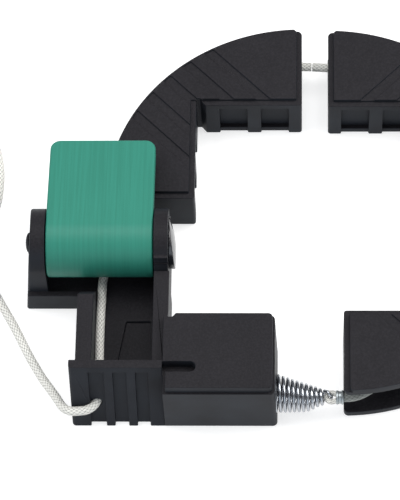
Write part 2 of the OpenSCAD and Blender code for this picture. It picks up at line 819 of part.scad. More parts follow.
// A flat strap round the coil's left side.
module coil_tie() {
    r1 = sqrt(pow(coil_r(coil_turns - 0.25), 2) - pow(tie_w / 2, 2)) - cord_d / 2 - 0.1;
    r2 = coil_r(0.25) + cord_d / 2 + 0.1;
    h = coil_z + (coil_layers - 1) * turn_pitch + cord_d / 2 + 0.1;
    color(black) seat() translate([coil_x, coil_y - tie_w / 2, 0]) difference() {
        slab([-r2 - tie_t, 0, 0], [-r1 + tie_t, tie_w, h + tie_t]);
        slab([-r2, -1, tie_t], [-r1, tie_w + 1, h]);
    }
}

// Sleeve that keeps the cord's end from fraying.
module cord_tip() {
    color(cream) seat()
        translate([coil_x + 0.4, coil_y - coil_r(coil_total), coil_h(coil_total)])
        rotate([0, 90, 0]) rotate_extrude() {
            square([tip_d / 2, tip_len - 1]);
            square([tip_d / 2 - 1, tip_len]);
            translate([tip_d / 2 - 1, tip_len - 1]) intersection() {
                circle(1);
                square(1);
            }
        }
}

tensioner_body();
pivot_pin();
pin_cap();
lever();
spring();
cord_eye();
ferrule();
cord_run_bottom();
corner_lower_right();
cord_arc_lower_right();
cord_run_right();
corner_upper_right();
cord_arc_upper_right();
cord_run_top();
corner_upper_left();
cord_arc_upper_left();
cord_run_left();
cord_channel();
cord_tail();
cord_coil();
coil_tie();
cord_tip();
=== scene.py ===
"""Looks of a cord frame clamp.

Corner blocks are strung on one braided cord. One block holds a cam lever that
grips the cord, a cleat and a conical spring. Sizes are millimetres and angles
are degrees of the working layout: x to the right, y to the back, z up from the
table. Meshes are in metres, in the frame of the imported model.
"""

import logging
import math
from dataclasses import dataclass
from enum import Enum
from typing import Callable, Mapping, Sequence, Union

import bmesh
import bpy
from mathutils import Matrix, Vector


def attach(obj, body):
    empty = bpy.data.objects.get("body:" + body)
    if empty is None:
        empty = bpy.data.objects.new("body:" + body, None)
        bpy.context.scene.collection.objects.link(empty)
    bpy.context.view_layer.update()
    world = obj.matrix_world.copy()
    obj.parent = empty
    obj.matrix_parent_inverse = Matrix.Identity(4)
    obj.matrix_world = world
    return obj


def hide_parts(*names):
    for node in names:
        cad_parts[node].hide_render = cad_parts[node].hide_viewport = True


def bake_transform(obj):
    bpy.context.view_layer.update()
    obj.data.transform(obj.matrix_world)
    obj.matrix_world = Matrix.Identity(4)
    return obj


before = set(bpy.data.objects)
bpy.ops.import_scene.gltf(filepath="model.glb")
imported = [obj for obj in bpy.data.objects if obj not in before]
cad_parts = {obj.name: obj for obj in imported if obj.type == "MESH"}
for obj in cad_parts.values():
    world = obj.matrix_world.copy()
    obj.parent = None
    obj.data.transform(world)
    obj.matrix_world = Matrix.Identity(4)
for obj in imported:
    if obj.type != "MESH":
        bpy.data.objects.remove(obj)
LOG = logging.getLogger("cord_clamp")
Object = bpy.types.Object
Point = Sequence[float]
MM = 0.001
MID = Vector((-6.1126, 1.325, 0.0))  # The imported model's origin in the layout.
PIVOT = (-13.95, 24.15)  # y and z of the lever's axis.
MERGE = 0.002 * MM  # Points nearer than this become one.
SMOOTH = math.radians(34.0)  # Faces that meet at less than this shade as one.


def at(point: Point) -> Vector:
    """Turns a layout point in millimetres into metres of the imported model's frame.

    Args:
        point: x, y and z in layout millimetres.

    Returns:
        The same place in metres.
    """
    return (Vector(point) - MID) * MM


def laid(point: Vector) -> Vector:
    """Turns a mesh point in metres back into layout millimetres.

    Args:
        point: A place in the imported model's frame.

    Returns:
        The same place in the layout.
    """
    return point / MM + MID


def linked(name: str, data: bpy.types.ID) -> Object:
    """Puts a new object into the scene.

    Args:
        name: Its name.
        data: Its mesh, lamp or camera.

    Returns:
        The object.
    """
    made = bpy.data.objects.new(name, data)
    bpy.context.scene.collection.objects.link(made)
    return made


def upright(a: Vector, b: Vector) -> bool:
    """Says whether an edge between two layout points stands upright."""
    return abs(a.z - b.z) > 1


# ---------- Shader tools ----------


class Tap:
    """A shader socket that takes part in Python sums."""

    def __init__(self, recipe: "Recipe", socket: bpy.types.NodeSocket) -> None:
        """Keeps the socket and the recipe that it belongs to."""
        self.recipe = recipe
        self.socket = socket

    def math(self, operation: str, *values: "Value") -> "Tap":
        """Adds a Math node.

        Args:
            operation: The node's operation.
            values: Its inputs in order.

        Returns:
            The node's result.
        """
        made = self.recipe.node("ShaderNodeMath", {"operation": operation}, dict(enumerate(values)))
        return Tap(self.recipe, made.outputs[0])

    def __add__(self, other: "Value") -> "Tap":
        """Adds."""
        return self.math("ADD", self, other)

    def __sub__(self, other: "Value") -> "Tap":
        """Subtracts."""
        return self.math("SUBTRACT", self, other)

    def __rsub__(self, other: "Value") -> "Tap":
        """Subtracts this tap from a number."""
        return self.math("SUBTRACT", other, self)

    def __mul__(self, other: "Value") -> "Tap":
        """Multiplies."""
        return self.math("MULTIPLY", self, other)

    def __pow__(self, other: "Value") -> "Tap":
        """Raises to a power."""
        return self.math("POWER", self, other)

    __radd__ = __add__
    __rmul__ = __mul__

    def fract(self) -> "Tap":
        """Keeps what is behind the decimal point."""
        return self.math("FRACT", self)

    def floor(self) -> "Tap":
        """Rounds down."""
        return self.math("FLOOR", self)

    def step(self, low: float, high: float) -> "Tap":
        """Rises smoothly from 0 at low to 1 at high.

        Args:
            low: Where the rise starts.
            high: Where it ends.

        Returns:
            The eased value.
        """
        made = self.recipe.node(
            "ShaderNodeMapRange",
            {"interpolation_type": "SMOOTHSTEP"},
            {"Value": self, "From Min": low, "From Max": high},
        )
        return Tap(self.recipe, made.outputs[0])


Value = Union[float, int, Sequence[float], Tap]


class Recipe:
    """The node tree of one material."""

    def __init__(self, name: str) -> None:
        """Starts an empty material.

        Args:
            name: The finish's name.
        """
        self.material = bpy.data.materials.new(name)
        self.material.use_nodes = True
        self.tree = self.material.node_tree
        self.tree.nodes.clear()

    def node(
        self,
        kind: str,
        settings: Mapping[str, object] | None = None,
        sockets: Mapping[Union[int, str], Value] | None = None,
    ) -> bpy.types.Node:
        """Adds a node.

        Args:
            kind: The node's type.
            settings: Its properties, set first.
            sockets: Values or links of its inputs, by name or index.

        Returns:
            The new node.
        """
        made = self.tree.nodes.new(kind)
        for name, value in (settings or {}).items():
            setattr(made, name, value)
        for key, value in (sockets or {}).items():
            if isinstance(value, Tap):
                self.tree.links.new(value.socket, made.inputs[key])
            else:
                made.inputs[key].default_value = value
        return made

    def place(self, scale: Point) -> Tap:
        """Gives the piece's own coordinates, stretched.

        Args:
            scale: Pattern repeats per metre along each axis.

        Returns:
            The coordinates.
        """
        spot = self.node("ShaderNodeTexCoord").outputs["Object"]
        made = self.node("ShaderNodeMapping", None, {"Vector": Tap(self, spot), "Scale": scale})
        return Tap(self, made.outputs[0])

    def noise(self, scale: Point, detail: float = 2.0, rough: float = 0.5) -> Tap:
        """Adds a noise pattern on the piece's own coordinates.

        Args:
            scale: Noise features per metre along each axis.
            detail: Number of finer layers.
            rough: Weight of the finer layers.

        Returns:
            The noise, from 0 to 1.
        """
        made = self.node(
            "ShaderNodeTexNoise",
            None,
            {"Vector": self.place(scale), "Scale": 1.0, "Detail": detail, "Roughness": rough},
        )
        return Tap(self, made.outputs[0])

    def blend(self, factor: Value, low: Value, high: Value) -> Tap:
        """Mixes two colours.

        Args:
            factor: 0 for low, 1 for high.
            low: First colour.
            high: Second colour.

        Returns:
            The mixed colour.
        """
        made = self.node("ShaderNodeMix", {"data_type": "RGBA"}, {0: factor, 6: low, 7: high})
        return Tap(self, made.outputs[2])

    def tint(self, factor: Value, low: Point, high: Point) -> Tap:
        """Mixes two plain colours, 0 for low and 1 for high."""
        return self.blend(factor, (*low, 1.0), (*high, 1.0))

    def upward(self) -> Tap:
        """Gives how far the surface faces up, from -1 to 1."""
        normal = self.node("ShaderNodeNewGeometry").outputs["Normal"]
        made = self.node("ShaderNodeSeparateXYZ", None, {0: Tap(self, normal)})
        return Tap(self, made.outputs[2])

    def bump(self, height: Value, depth: float, strength: Value = 1.0) -> Tap:
        """Turns a height into a normal.

        Args:
            height: Height of the relief, from 0 to 1.
            depth: What 1 stands for, in millimetres.
            strength: Share of the relief that shows.

        Returns:
            The bent normal.
        """
        made = self.node(
            "ShaderNodeBump", None, {"Height": height, "Distance": depth * MM, "Strength": strength}
        )
        return Tap(self, made.outputs[0])

    def finish(self, sockets: Mapping[str, Value]) -> bpy.types.Material:
        """Closes the tree with its surface shader.

        Args:
            sockets: Values or links of the surface shader's inputs.

        Returns:
            The finished material.
        """
        shader = self.node("ShaderNodeBsdfPrincipled", None, sockets)
        self.node("ShaderNodeOutputMaterial", None, {0: Tap(self, shader.outputs[0])})
        return self.material


# ---------- Finishes ----------


@dataclass(frozen=True)
class BlackPlastic:
    """Black moulded nylon: spark-grained where it faces up, smooth on its sides, which carry a
    painted bluish reflection.
    """

    name: str = "black_plastic"
    dark: Point = (0.0112, 0.0106, 0.0124)
    light: Point = (0.0225, 0.0213, 0.0246)
    # side: lighter bluish tone of the upright faces, a painted reflection of the light from the
    # front.
    side: Point = (0.0255, 0.0300, 0.0375)
    grain: float = 1500.0
    cloud: float = 70.0
    scuff: Point = (420.0, 420.0, 90.0)
    depth: float = 0.10
    rough: float = 0.38
    shine: float = 0.06

    def make(self) -> bpy.types.Material:
        """Builds the material.

        Returns:
            The black plastic.
        """
        mix = Recipe(self.name)
        grain = mix.noise((self.grain,) * 3, 3.0, 0.62)
        cloud = mix.noise((self.cloud,) * 3)
        # top picks the grained colour on faces that look up, and the painted side reflection on the
        # others.
        top = mix.upward().step(0.55, 0.9)
        scuff = mix.noise(self.scuff, 4.0, 0.7).step(0.60, 0.80)
        shade = grain.step(0.35, 0.75) * 0.6 + cloud * 0.4
        sides = mix.tint(cloud, self.dark, self.side)
        tops = mix.tint(shade, self.dark, self.light)
        return mix.finish(
            {
                "Base Color": mix.blend(top, sides, tops),
                "Roughness": self.rough + top * 0.06 + grain * 0.08 + scuff * 0.06,
                "Normal": mix.bump(grain, self.depth, 0.04 + top * 0.96),
                "Specular IOR Level": self.shine,
            }
        )


@dataclass(frozen=True)
class GreenPlastic:
    """Matt green nylon with faint flow streaks along the paddle."""

    dark: Point = (0.018, 0.154, 0.109)
    light: Point = (0.024, 0.188, 0.137)
    streak: Point = (1100.0, 22.0, 22.0)
    cloud: float = 60.0
    grain: float = 2400.0
    depth: float = 0.03
    rough: float = 0.40
    shine: float = 0.24

    def make(self) -> bpy.types.Material:
        """Builds the material.

        Returns:
            The green plastic.
        """
        mix = Recipe("green_plastic")
        streak = mix.noise(self.streak, 3.0, 0.6)
        cloud = mix.noise((self.cloud,) * 3)
        grain = mix.noise((self.grain,) * 3)
        shade = streak.step(0.3, 0.7) * 0.65 + cloud * 0.35
        return mix.finish(
            {
                "Base Color": mix.tint(shade, self.dark, self.light),
                "Roughness": self.rough + grain * 0.12,
                "Normal": mix.bump(streak * 0.6 + grain * 0.4, self.depth),
                "Specular IOR Level": self.shine,
            }
        )


@dataclass(frozen=True)
class Braid:
    """Round braid of yarn, two sets of strands that pass over and under each other, with painted
    shade in the hollows between them.
    """

    name: str = "braid"
    strands: int = 8
    cell: float = 1.7
    soil: float = 160.0
    depth: float = 0.22
    # gap: colour of the low parts between strands, a painted shade.
    gap: Point = (0.22, 0.215, 0.20)
    yarn: Point = (0.79, 0.78, 0.73)

    def make(self) -> bpy.types.Material:
        """Builds the material on the cord's own map.

        The map's u runs once round the cord, and its v along it in millimetres.

        Returns:
            The braid.
        """
        mix = Recipe(self.name)
        spot = mix.node("ShaderNodeUVMap", {"uv_map": "lay"}).outputs[0]
        split = mix.node("ShaderNodeSeparateXYZ", None, {0: Tap(mix, spot)})
        around = Tap(mix, split.outputs[0]) * float(self.strands)
        along = Tap(mix, split.outputs[1]) * (1.0 / self.cell)
        left, right = around + along, around - along
        over = ((left.floor() + right.floor()) * 0.5).fract() * 2.0
        across_l = 1.0 - (right.fract() * 2.0 - 1.0) ** 2.0
        across_r = 1.0 - (left.fract() * 2.0 - 1.0) ** 2.0
        fibre_l = (right.fract() * 4.0).fract()
        fibre_r = (left.fract() * 4.0).fract()
        high_l = across_l ** 0.7 * (across_r * 0.45 + 0.55) - fibre_l * 0.10
        high_r = across_r ** 0.7 * (across_l * 0.45 + 0.55) - fibre_r * 0.10
        height = over * high_l + (1.0 - over) * high_r
        soil = mix.noise((self.soil,) * 3, 3.0)
        # Low parts go towards the gap colour as painted shade; soil adds random dirt.
        shade = height.step(0.02, 0.62) * (0.86 + soil * 0.14)
        return mix.finish(
            {
                "Base Color": mix.tint(shade, self.gap, self.yarn),
                "Roughness": 0.62,
                "Normal": mix.bump(height, self.depth),
                "Sheen Weight": 0.15,
            }
        )


@dataclass(frozen=True)
class Metal:
    """A plated or bare metal with fine drawing marks."""

    name: str
    dark: Point
    light: Point
    rough: float
    depth: float
    mark: float = 1300.0
    cloud: float = 260.0

    def make(self) -> bpy.types.Material:
        """Builds the material.

        Returns:
            The metal.
        """
        mix = Recipe(self.name)
        mark = mix.noise((self.mark,) * 3, 3.0, 0.65)
        cloud = mix.noise((self.cloud,) * 3)
        return mix.finish(
            {
                "Base Color": mix.tint(cloud, self.dark, self.light),
                "Metallic": 1.0,
                "Roughness": self.rough + mark * 0.14,
                "Normal": mix.bump(mark, self.depth),
            }
        )


@dataclass(frozen=True)
class StrapWeb:
    """Black strap of fine loops."""

    dark: Point = (0.012, 0.012, 0.013)
    light: Point = (0.045, 0.045, 0.048)
    loops: float = 1900.0
    depth: float = 0.18

    def make(self) -> bpy.types.Material:
        """Builds the material.

        Returns:
            The strap.
        """
        mix = Recipe("strap_web")
        spot = mix.place((self.loops,) * 3)
        loops = mix.node("ShaderNodeTexVoronoi", None, {"Vector": spot, "Scale": 1.0})
        pile = 1.0 - Tap(mix, loops.outputs[0])
        return mix.finish(
            {
                "Base Color": mix.tint(pile, self.dark, self.light),
                "Roughness": 0.85,
                "Normal": mix.bump(pile, self.depth),
                "Sheen Weight": 0.3,
            }
        )


@dataclass(frozen=True)
class SleeveSkin:
    """Shrunk milky sleeve, ribbed by the braid under it."""

    dark: Point = (0.60, 0.585, 0.53)
    light: Point = (0.78, 0.77, 0.72)
    ribs: Point = (900.0, 350.0, 350.0)
    depth: float = 0.08

    def make(self) -> bpy.types.Material:
        """Builds the material.

        Returns:
            The sleeve.
        """
        mix = Recipe("sleeve_skin")
        ribs = mix.noise(self.ribs)
        return mix.finish(
            {
                "Base Color": mix.tint(ribs.step(0.35, 0.65), self.dark, self.light),
                "Roughness": 0.24 + ribs * 0.1,
                "Normal": mix.bump(ribs, self.depth),
            }
        )


@dataclass(frozen=True)
class PaleFloor:
    """Plain white paper."""

    shade: Point = (0.50, 0.50, 0.50)
    glow: float = 0.66

    def make(self) -> bpy.types.Material:
        """Builds the material.

        Returns:
            The floor's paper.
        """
        mix = Recipe("pale_floor")
        return mix.finish(
            {
                "Base Color": (*self.shade, 1.0),
                "Roughness": 0.95,
                "Specular IOR Level": 0.0,
                "Emission Color": (1.0, 1.0, 1.0, 1.0),
                "Emission Strength": self.glow,
            }
        )


# ---------- Modelling tools ----------


class Axis(Enum):
    """The way that a rod runs."""

    X = 0
    Z = 2


class Bench:
    """Modelling steps, as by hand, on pieces of the clamp."""

    @staticmethod
    def rest() -> None:
        """Leaves edit mode and deselects everything."""
        if bpy.context.mode != "OBJECT":
            bpy.ops.object.mode_set(mode="OBJECT")
        bpy.ops.object.select_all(action="DESELECT")

    @staticmethod
    def take(piece: Object) -> None:
        """Makes a piece the only one in hand.

        Args:
            piece: The piece to work on.
        """
        Bench.rest()
        bpy.context.view_layer.objects.active = piece
        piece.select_set(True)

    @staticmethod
    def edit(piece: Object) -> None:
        """Goes into edit mode with all of a piece selected."""
        Bench.take(piece)
        bpy.ops.object.mode_set(mode="EDIT")
        bpy.ops.mesh.select_all(action="SELECT")

    @staticmethod
    def scrap(piece: Object) -> None:
        """Throws a piece and its mesh away."""
        spent = piece.data
        bpy.data.objects.remove(piece)
        bpy.data.meshes.remove(spent)

    @staticmethod
    def named(name: str) -> Object:
        """Names the new primitive and puts its place into its mesh.

        Args:
            name: The piece's name.

        Returns:
            The piece.
        """
        piece = bpy.context.object
        piece.name = piece.data.name = name
        bpy.ops.object.transform_apply(location=True, rotation=True, scale=True)
        return piece

    @staticmethod
    def slab(low: Point, high: Point, name: str = "slab", turn: float = 0.0) -> Object:
        """Adds a block between two corners.

        Args:
            low: Lowest corner.
            high: Highest corner.
            name: The piece's name.
            turn: Turn about its upright middle line.

        Returns:
            The block.
        """
        Bench.rest()
        a, b = at(low), at(high)
        bpy.ops.mesh.primitive_cube_add(
            size=1.0, location=(a + b) / 2, rotation=(0.0, 0.0, math.radians(turn)), scale=b - a
        )
        return Bench.named(name)

    @staticmethod
    def rod(
        centre: Point,
        radius: float,
        start: float,
        end: float,
        axis: Axis,
        sides: int = 96,
        name: str = "rod",
    ) -> Object:
        """Adds a round rod.

        Args:
            centre: A point on its axis.
            radius: Its radius.
            start: Where it starts on the axis.
            end: Where it ends.
            axis: The way it runs.
            sides: Number of sides.
            name: The piece's name.

        Returns:
            The rod.
        """
        Bench.rest()
        middle = list(centre)
        middle[axis.value] = (start + end) / 2
        bpy.ops.mesh.primitive_cylinder_add(
            vertices=sides,
            radius=radius * MM,
            depth=(end - start) * MM,
            location=at(middle),
            rotation=(0.0, math.pi / 2 if axis is Axis.X else 0.0, 0.0),
        )
        return Bench.named(name)

    @staticmethod
    def cut(piece: Object, point: Point, away: Point) -> Object:
        """Cuts a piece along a plane and closes the cut.

        Args:
            piece: The piece to cut.
            point: A point on the plane.
            away: The direction whose side is thrown away.

        Returns:
            The piece.
        """
        Bench.edit(piece)
        bpy.ops.mesh.bisect(
            plane_co=at(point), plane_no=Vector(away).normalized(), use_fill=True, clear_outer=True
        )
        bpy.ops.object.mode_set(mode="OBJECT")
        return piece

    @staticmethod
    def pick(piece: Object, wanted: Callable[[Vector, Vector], bool]) -> None:
        """Goes into edit mode with some edges selected.

        Args:
            piece: The piece to work on.
            wanted: Says yes to an edge's two ends, in layout millimetres.
        """
        Bench.edit(piece)
        bpy.ops.mesh.select_mode(type="EDGE")
        bpy.ops.mesh.select_all(action="DESELECT")
        net = bmesh.from_edit_mesh(piece.data)
        for edge in net.edges:
            edge.select_set(wanted(laid(edge.verts[0].co), laid(edge.verts[1].co)))
        bmesh.update_edit_mesh(piece.data)

    @staticmethod
    def round_edges(
        piece: Object, wanted: Callable[[Vector, Vector], bool], radius: float, steps: int = 6
    ) -> Object:
        """Rounds some edges of a piece.

        Args:
            piece: The piece to work on.
            wanted: Says yes to an edge's two ends, in layout millimetres.
            radius: Radius of the rounding.
            steps: Number of facets.

        Returns:
            The piece.
        """
        Bench.pick(piece, wanted)
        bpy.ops.mesh.bevel(offset=radius * MM, segments=steps, profile=0.5, affect="EDGES")
        bpy.ops.object.mode_set(mode="OBJECT")
        return piece

    @staticmethod
    def join(piece: Object, other: Object, operation: str = "UNION") -> Object:
        """Adds another solid to a piece, or takes it away.

        Args:
            piece: The piece to work on.
            other: The other solid, which is used up.
            operation: UNION, DIFFERENCE or INTERSECT.

        Returns:
            The piece.
        """
        Bench.take(piece)
        step = piece.modifiers.new("join", "BOOLEAN")
        step.operation, step.solver, step.object = operation, "EXACT", other
        bpy.ops.object.modifier_apply(modifier=step.name)
        Bench.scrap(other)
        return piece

    @staticmethod
    def build(piece: Object, added: Sequence[Object], removed: Sequence[Object]) -> Object:
        """Adds solids to a piece in order, then takes others away.

        Args:
            piece: The piece to work on.
            added: Solids to add.
            removed: Solids to take away.

        Returns:
            The piece.
        """
        for other in added:
            Bench.join(piece, other)
        for other in removed:
            Bench.join(piece, other, "DIFFERENCE")
        return piece

    @staticmethod
    def tidy(piece: Object) -> Object:
        """Merges doubled points and clears the edges inside flat faces.

        Args:
            piece: The piece to work on.

        Returns:
            The piece.
        """
        Bench.edit(piece)
        bpy.ops.mesh.remove_doubles(threshold=MERGE)
        bpy.ops.mesh.dissolve_limited(angle_limit=math.radians(0.6))
        bpy.ops.mesh.normals_make_consistent(inside=False)
        bpy.ops.object.mode_set(mode="OBJECT")
        return piece

    @staticmethod
    def soften(piece: Object, radius: float, steps: int = 2, sharp: float = 28.0) -> Object:
        """Cleans flat faces, rounds every sharp edge a little and smooths the shading.

        Args:
            piece: The piece to work on.
            radius: Radius of the rounding.
            steps: Number of facets.
            sharp: Angle in degrees above which an edge is rounded.

        Returns:
            The piece.
        """
        Bench.tidy(piece)
        step = piece.modifiers.new("soften", "BEVEL")
        step.width, step.segments = radius * MM, steps
        step.limit_method, step.angle_limit = "ANGLE", math.radians(sharp)
        step.use_clamp_overlap = False
        step.miter_outer = "MITER_ARC"
        bpy.ops.object.modifier_apply(modifier=step.name)
        bpy.ops.object.shade_smooth_by_angle(angle=SMOOTH)
        even = piece.modifiers.new("even", "WEIGHTED_NORMAL")
        even.keep_sharp = True
        bpy.ops.object.modifier_apply(modifier=even.name)
        return piece

    @staticmethod
    def drawn(
        name: str,
        spots: Sequence[Vector],
        edges: Sequence[tuple[int, int]],
        faces: Sequence[tuple[int, ...]],
    ) -> Object:
        """Starts a piece from drawn points.

        Args:
            name: The piece's name.
            spots: The points, in metres.
            edges: Pairs of points that are joined.
            faces: Rings of points that are filled.

        Returns:
            The piece.
        """
        mesh = bpy.data.meshes.new(name)
        mesh.from_pydata(spots, edges, faces)
        return linked(name, mesh)

    @staticmethod
    def lathe(outline: Sequence[Point], centre: Point, steps: int, name: str) -> Object:
        """Turns an outline round an axis along X.

        Args:
            outline: Place along X and radius of each point, from end to end.
            centre: A point on the axis.
            steps: Number of steps round it.
            name: The piece's name.

        Returns:
            The turned piece.
        """
        Bench.rest()
        spots = [at((x, centre[1], centre[2] + r)) for x, r in outline]
        piece = Bench.drawn(name, spots, [(i, i + 1) for i in range(len(spots) - 1)], [])
        Bench.edit(piece)
        bpy.ops.mesh.spin(steps=steps, angle=2 * math.pi, center=at(centre), axis=(1.0, 0.0, 0.0))
        bpy.ops.mesh.select_all(action="SELECT")
        bpy.ops.mesh.remove_doubles(threshold=MERGE)
        bpy.ops.mesh.normals_make_consistent(inside=False)
        bpy.ops.object.mode_set(mode="OBJECT")
        bpy.ops.object.shade_smooth_by_angle(angle=SMOOTH)
        return piece

    @staticmethod
    def sweep(outline: Sequence[Point], left: float, right: float, name: str) -> Object:
        """Draws a side view and pushes it out along X.

        Args:
            outline: y and z of the view's points.
            left: Where the piece starts.
            right: Where it ends.
            name: The piece's name.

        Returns:
            The piece.
        """
        Bench.rest()
        spots = [at((left, y, z)) for y, z in outline]
        piece = Bench.drawn(name, spots, [], [tuple(range(len(outline)))])
        Bench.edit(piece)
        push = {"value": ((right - left) * MM, 0.0, 0.0)}
        bpy.ops.mesh.extrude_region_move(TRANSFORM_OT_translate=push)
        bpy.ops.mesh.select_all(action="SELECT")
        bpy.ops.mesh.normals_make_consistent(inside=False)
        bpy.ops.object.mode_set(mode="OBJECT")
        return piece

    @staticmethod
    def dress(piece: Object, finish: bpy.types.Material, slot: str, *nodes: str) -> Object:
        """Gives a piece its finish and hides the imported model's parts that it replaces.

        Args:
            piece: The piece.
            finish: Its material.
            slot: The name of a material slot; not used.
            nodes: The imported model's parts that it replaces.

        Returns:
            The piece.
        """
        piece.data.materials.clear()
        piece.data.materials.append(finish)
        if nodes:
            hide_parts(*nodes)
        LOG.info("%s: %d faces", piece.name, len(piece.data.polygons))
        return piece


class Line:
    """Paths of the cord and the wire, and the tubes that follow them."""

    @staticmethod
    def arc(
        centre: Point, radius: float, start: float, end: float, steps: int, z: float
    ) -> list[Vector]:
        """Gives points on a level arc.

        Args:
            centre: x and y of the arc's middle.
            radius: Its radius.
            start: First angle.
            end: Last angle.
            steps: Number of steps.
            z: Height of the arc.

        Returns:
            The points.
        """
        x, y = centre
        angles = [math.radians(start + (end - start) * i / steps) for i in range(steps + 1)]
        return [Vector((x + radius * math.cos(a), y + radius * math.sin(a), z)) for a in angles]

    @staticmethod
    def straight(start: Point, end: Point, steps: int) -> list[Vector]:
        """Gives points on a straight line, both ends included.

        Args:
            start: First point.
            end: Last point.
            steps: Number of steps.

        Returns:
            The points.
        """
        return [Vector(start).lerp(Vector(end), i / steps) for i in range(steps + 1)]

    @staticmethod
    def smooth(points: Sequence[Point], steps: int) -> list[Vector]:
        """Gives a smooth curve through given points.

        Args:
            points: The points.
            steps: Steps from each point to the next.

        Returns:
            The curve's points.
        """
        p = [Vector(q) for q in points]
        curve = []
        for i in range(len(p) - 1):
            a, b, c, d = p[max(i - 1, 0)], p[i], p[i + 1], p[min(i + 2, len(p) - 1)]
            for k in range(steps + (i == len(p) - 2)):
                t = k / steps
                curve.append(
                    0.5
                    * (
                        2 * b
                        + (c - a) * t
                        + (2 * a - 5 * b + 4 * c - d) * t**2
                        + (3 * b - a - 3 * c + d) * t**3
                    )
                )
        return curve

    @staticmethod
    def clean(points: Sequence[Vector]) -> list[Vector]:
        """Drops points that lie on the one before.

        Args:
            points: The path.

        Returns:
            The path without doubles.
        """
        kept = [points[0]]
        kept.extend(q for q, before in zip(points[1:], points[:-1]) if (q - before).length > 0.01)
        return kept

    @staticmethod
    def length(points: Sequence[Vector]) -> float:
        """Measures a path in millimetres.

        Args:
            points: The path.

        Returns:
            Its length.
        """
        return sum((b - a).length for a, b in zip(points, points[1:]))

    @staticmethod
    def tube(
        name: str, points: Sequence[Vector], diameter: float, sides: int = 16, start: float = 0.0
    ) -> Object:
        """Sweeps a closed round tube along a path, with a map of its surface.

        Args:
            name: The piece's name.
            points: The path in layout millimetres.
            diameter: The tube's diameter.
            sides: Number of sides.
            start: Length of the cord before this stretch, for its pattern.

        Returns:
            The tube.
        """
        path = Line.clean(points)
        last = len(path) - 1
        heads = [
            (path[min(i + 1, last)] - path[max(i - 1, 0)]).normalized() for i in range(last + 1)
        ]
        side = Vector((0.0, 0.0, 1.0)) if abs(heads[0].z) < 0.8 else Vector((1.0, 0.0, 0.0))
        spots, run = [], [start]
        for i, (spot, head) in enumerate(zip(path, heads)):
            side = (side - head * side.dot(head)).normalized()
            up = head.cross(side)
            if i:
                run.append(run[-1] + (spot - path[i - 1]).length)
            for k in range(sides):
                a = 2 * math.pi * k / sides
                spots.append(at(spot + (side * math.cos(a) + up * math.sin(a)) * diameter / 2))
        faces = []
        for i in range(last):
            near, far = i * sides, (i + 1) * sides
            for k in range(sides):
                j = (k + 1) % sides
                faces.append((near + k, near + j, far + j, far + k))
        faces.append(tuple(range(sides - 1, -1, -1)))
        faces.append(tuple(last * sides + k for k in range(sides)))
        piece = Bench.drawn(name, spots, [], faces)
        layer = piece.data.uv_layers.new(name="lay")
        for i in range(last):
            for k in range(sides):
                corner = (i * sides + k) * 4
                around = ((i, k), (i, k + 1), (i + 1, k + 1), (i + 1, k))
                for step, (ring, turn) in enumerate(around):
                    layer.data[corner + step].uv = (turn / sides, run[ring])
        piece.data.update()
        Bench.take(piece)
        bpy.ops.object.shade_smooth_by_angle(angle=math.radians(50.0))
        return piece


# ---------- Studio ----------


@dataclass
class Studio:
    """Camera, floor and light."""

    elevation: float = 62.0
    distance: float = 1079.14
    focal_px: float = 3000.0
    middle_px: Point = (300.0, 240.0)  # Where the layout's origin lies in the frame.
    frame_px: Point = (400.0, 500.0)
    sensor: float = 36.0
    sky: Point = (0.93, 0.96, 1.0)
    world: float = 0.42
    key: float = 20.0

    def camera(self) -> None:
        """Sets the camera: a long lens from above the front, aimed left of the clamp's middle."""
        e = math.radians(self.elevation)
        ahead = Vector((0.0, math.cos(e), -math.sin(e)))
        right, up = Vector((1.0, 0.0, 0.0)), Vector((0.0, math.sin(e), math.cos(e)))
        off_x = (self.frame_px[0] / 2 - self.middle_px[0]) / self.focal_px
        off_y = (self.frame_px[1] / 2 - self.middle_px[1]) / self.focal_px
        back = -(ahead + right * off_x - up * off_y).normalized()
        level = (right - back * right.dot(back)).normalized()
        data = bpy.data.cameras.new("camera")
        data.lens = self.sensor * self.focal_px / max(self.frame_px)
        data.clip_start, data.clip_end = 0.01, 50.0
        eye = linked("camera", data)
        turn = Matrix((level, back.cross(level), back)).transposed().to_4x4()
        eye.matrix_world = Matrix.Translation(at(-ahead * self.distance)) @ turn
        bpy.context.scene.camera = eye

    def lamp(self, name: str, spot: Point, size: float, watts: float, colour: Point) -> None:
        """Adds a soft lamp that looks at the clamp.

        Args:
            name: The lamp's name.
            spot: Its place in metres.
            size: Its side in metres.
            watts: Its power.
            colour: Its colour.
        """
        data = bpy.data.lights.new(name, "AREA")
        data.shape, data.size, data.energy, data.color = "SQUARE", size, watts, colour
        lamp = linked(name, data)
        lamp.location = spot
        lamp.rotation_euler = Vector(spot).to_track_quat("Z", "Y").to_euler()

    def light(self) -> None:
        """Sets the even light of the room and the lamps."""
        room = bpy.data.worlds.new("room")
        room.use_nodes = True
        sky = room.node_tree.nodes["Background"]
        sky.inputs["Color"].default_value = (*self.sky, 1.0)
        sky.inputs["Strength"].default_value = self.world
        bpy.context.scene.world = room
        bpy.context.scene.view_settings.view_transform = "Standard"
        plain, warm, cool = (1.0, 1.0, 1.0), (1.0, 0.985, 0.96), (0.80, 0.90, 1.0)
        self.lamp("lamp_right", (1.0, 0.25, 1.1), 0.9, self.key * 0.75, warm)
        self.lamp("lamp_top", (0.1, 0.45, 1.5), 0.9, self.key * 0.60, plain)
        self.lamp("lamp_left", (-0.9, 0.1, 1.2), 0.9, self.key * 0.55, plain)
        self.lamp("lamp_front", (0.0, -1.3, 0.75), 1.0, self.key * 0.20, cool)

    def floor(self) -> None:
        """Lays the pale floor."""
        Bench.rest()
        bpy.ops.mesh.primitive_plane_add(size=8.0, location=(0.0, 0.0, -0.0002))
        floor = Bench.named("floor")
        floor.data.materials.append(PaleFloor().make())

    def build(self) -> None:
        """Sets up the studio."""
        self.camera()
        self.light()
        self.floor()


# ---------- Cord ----------


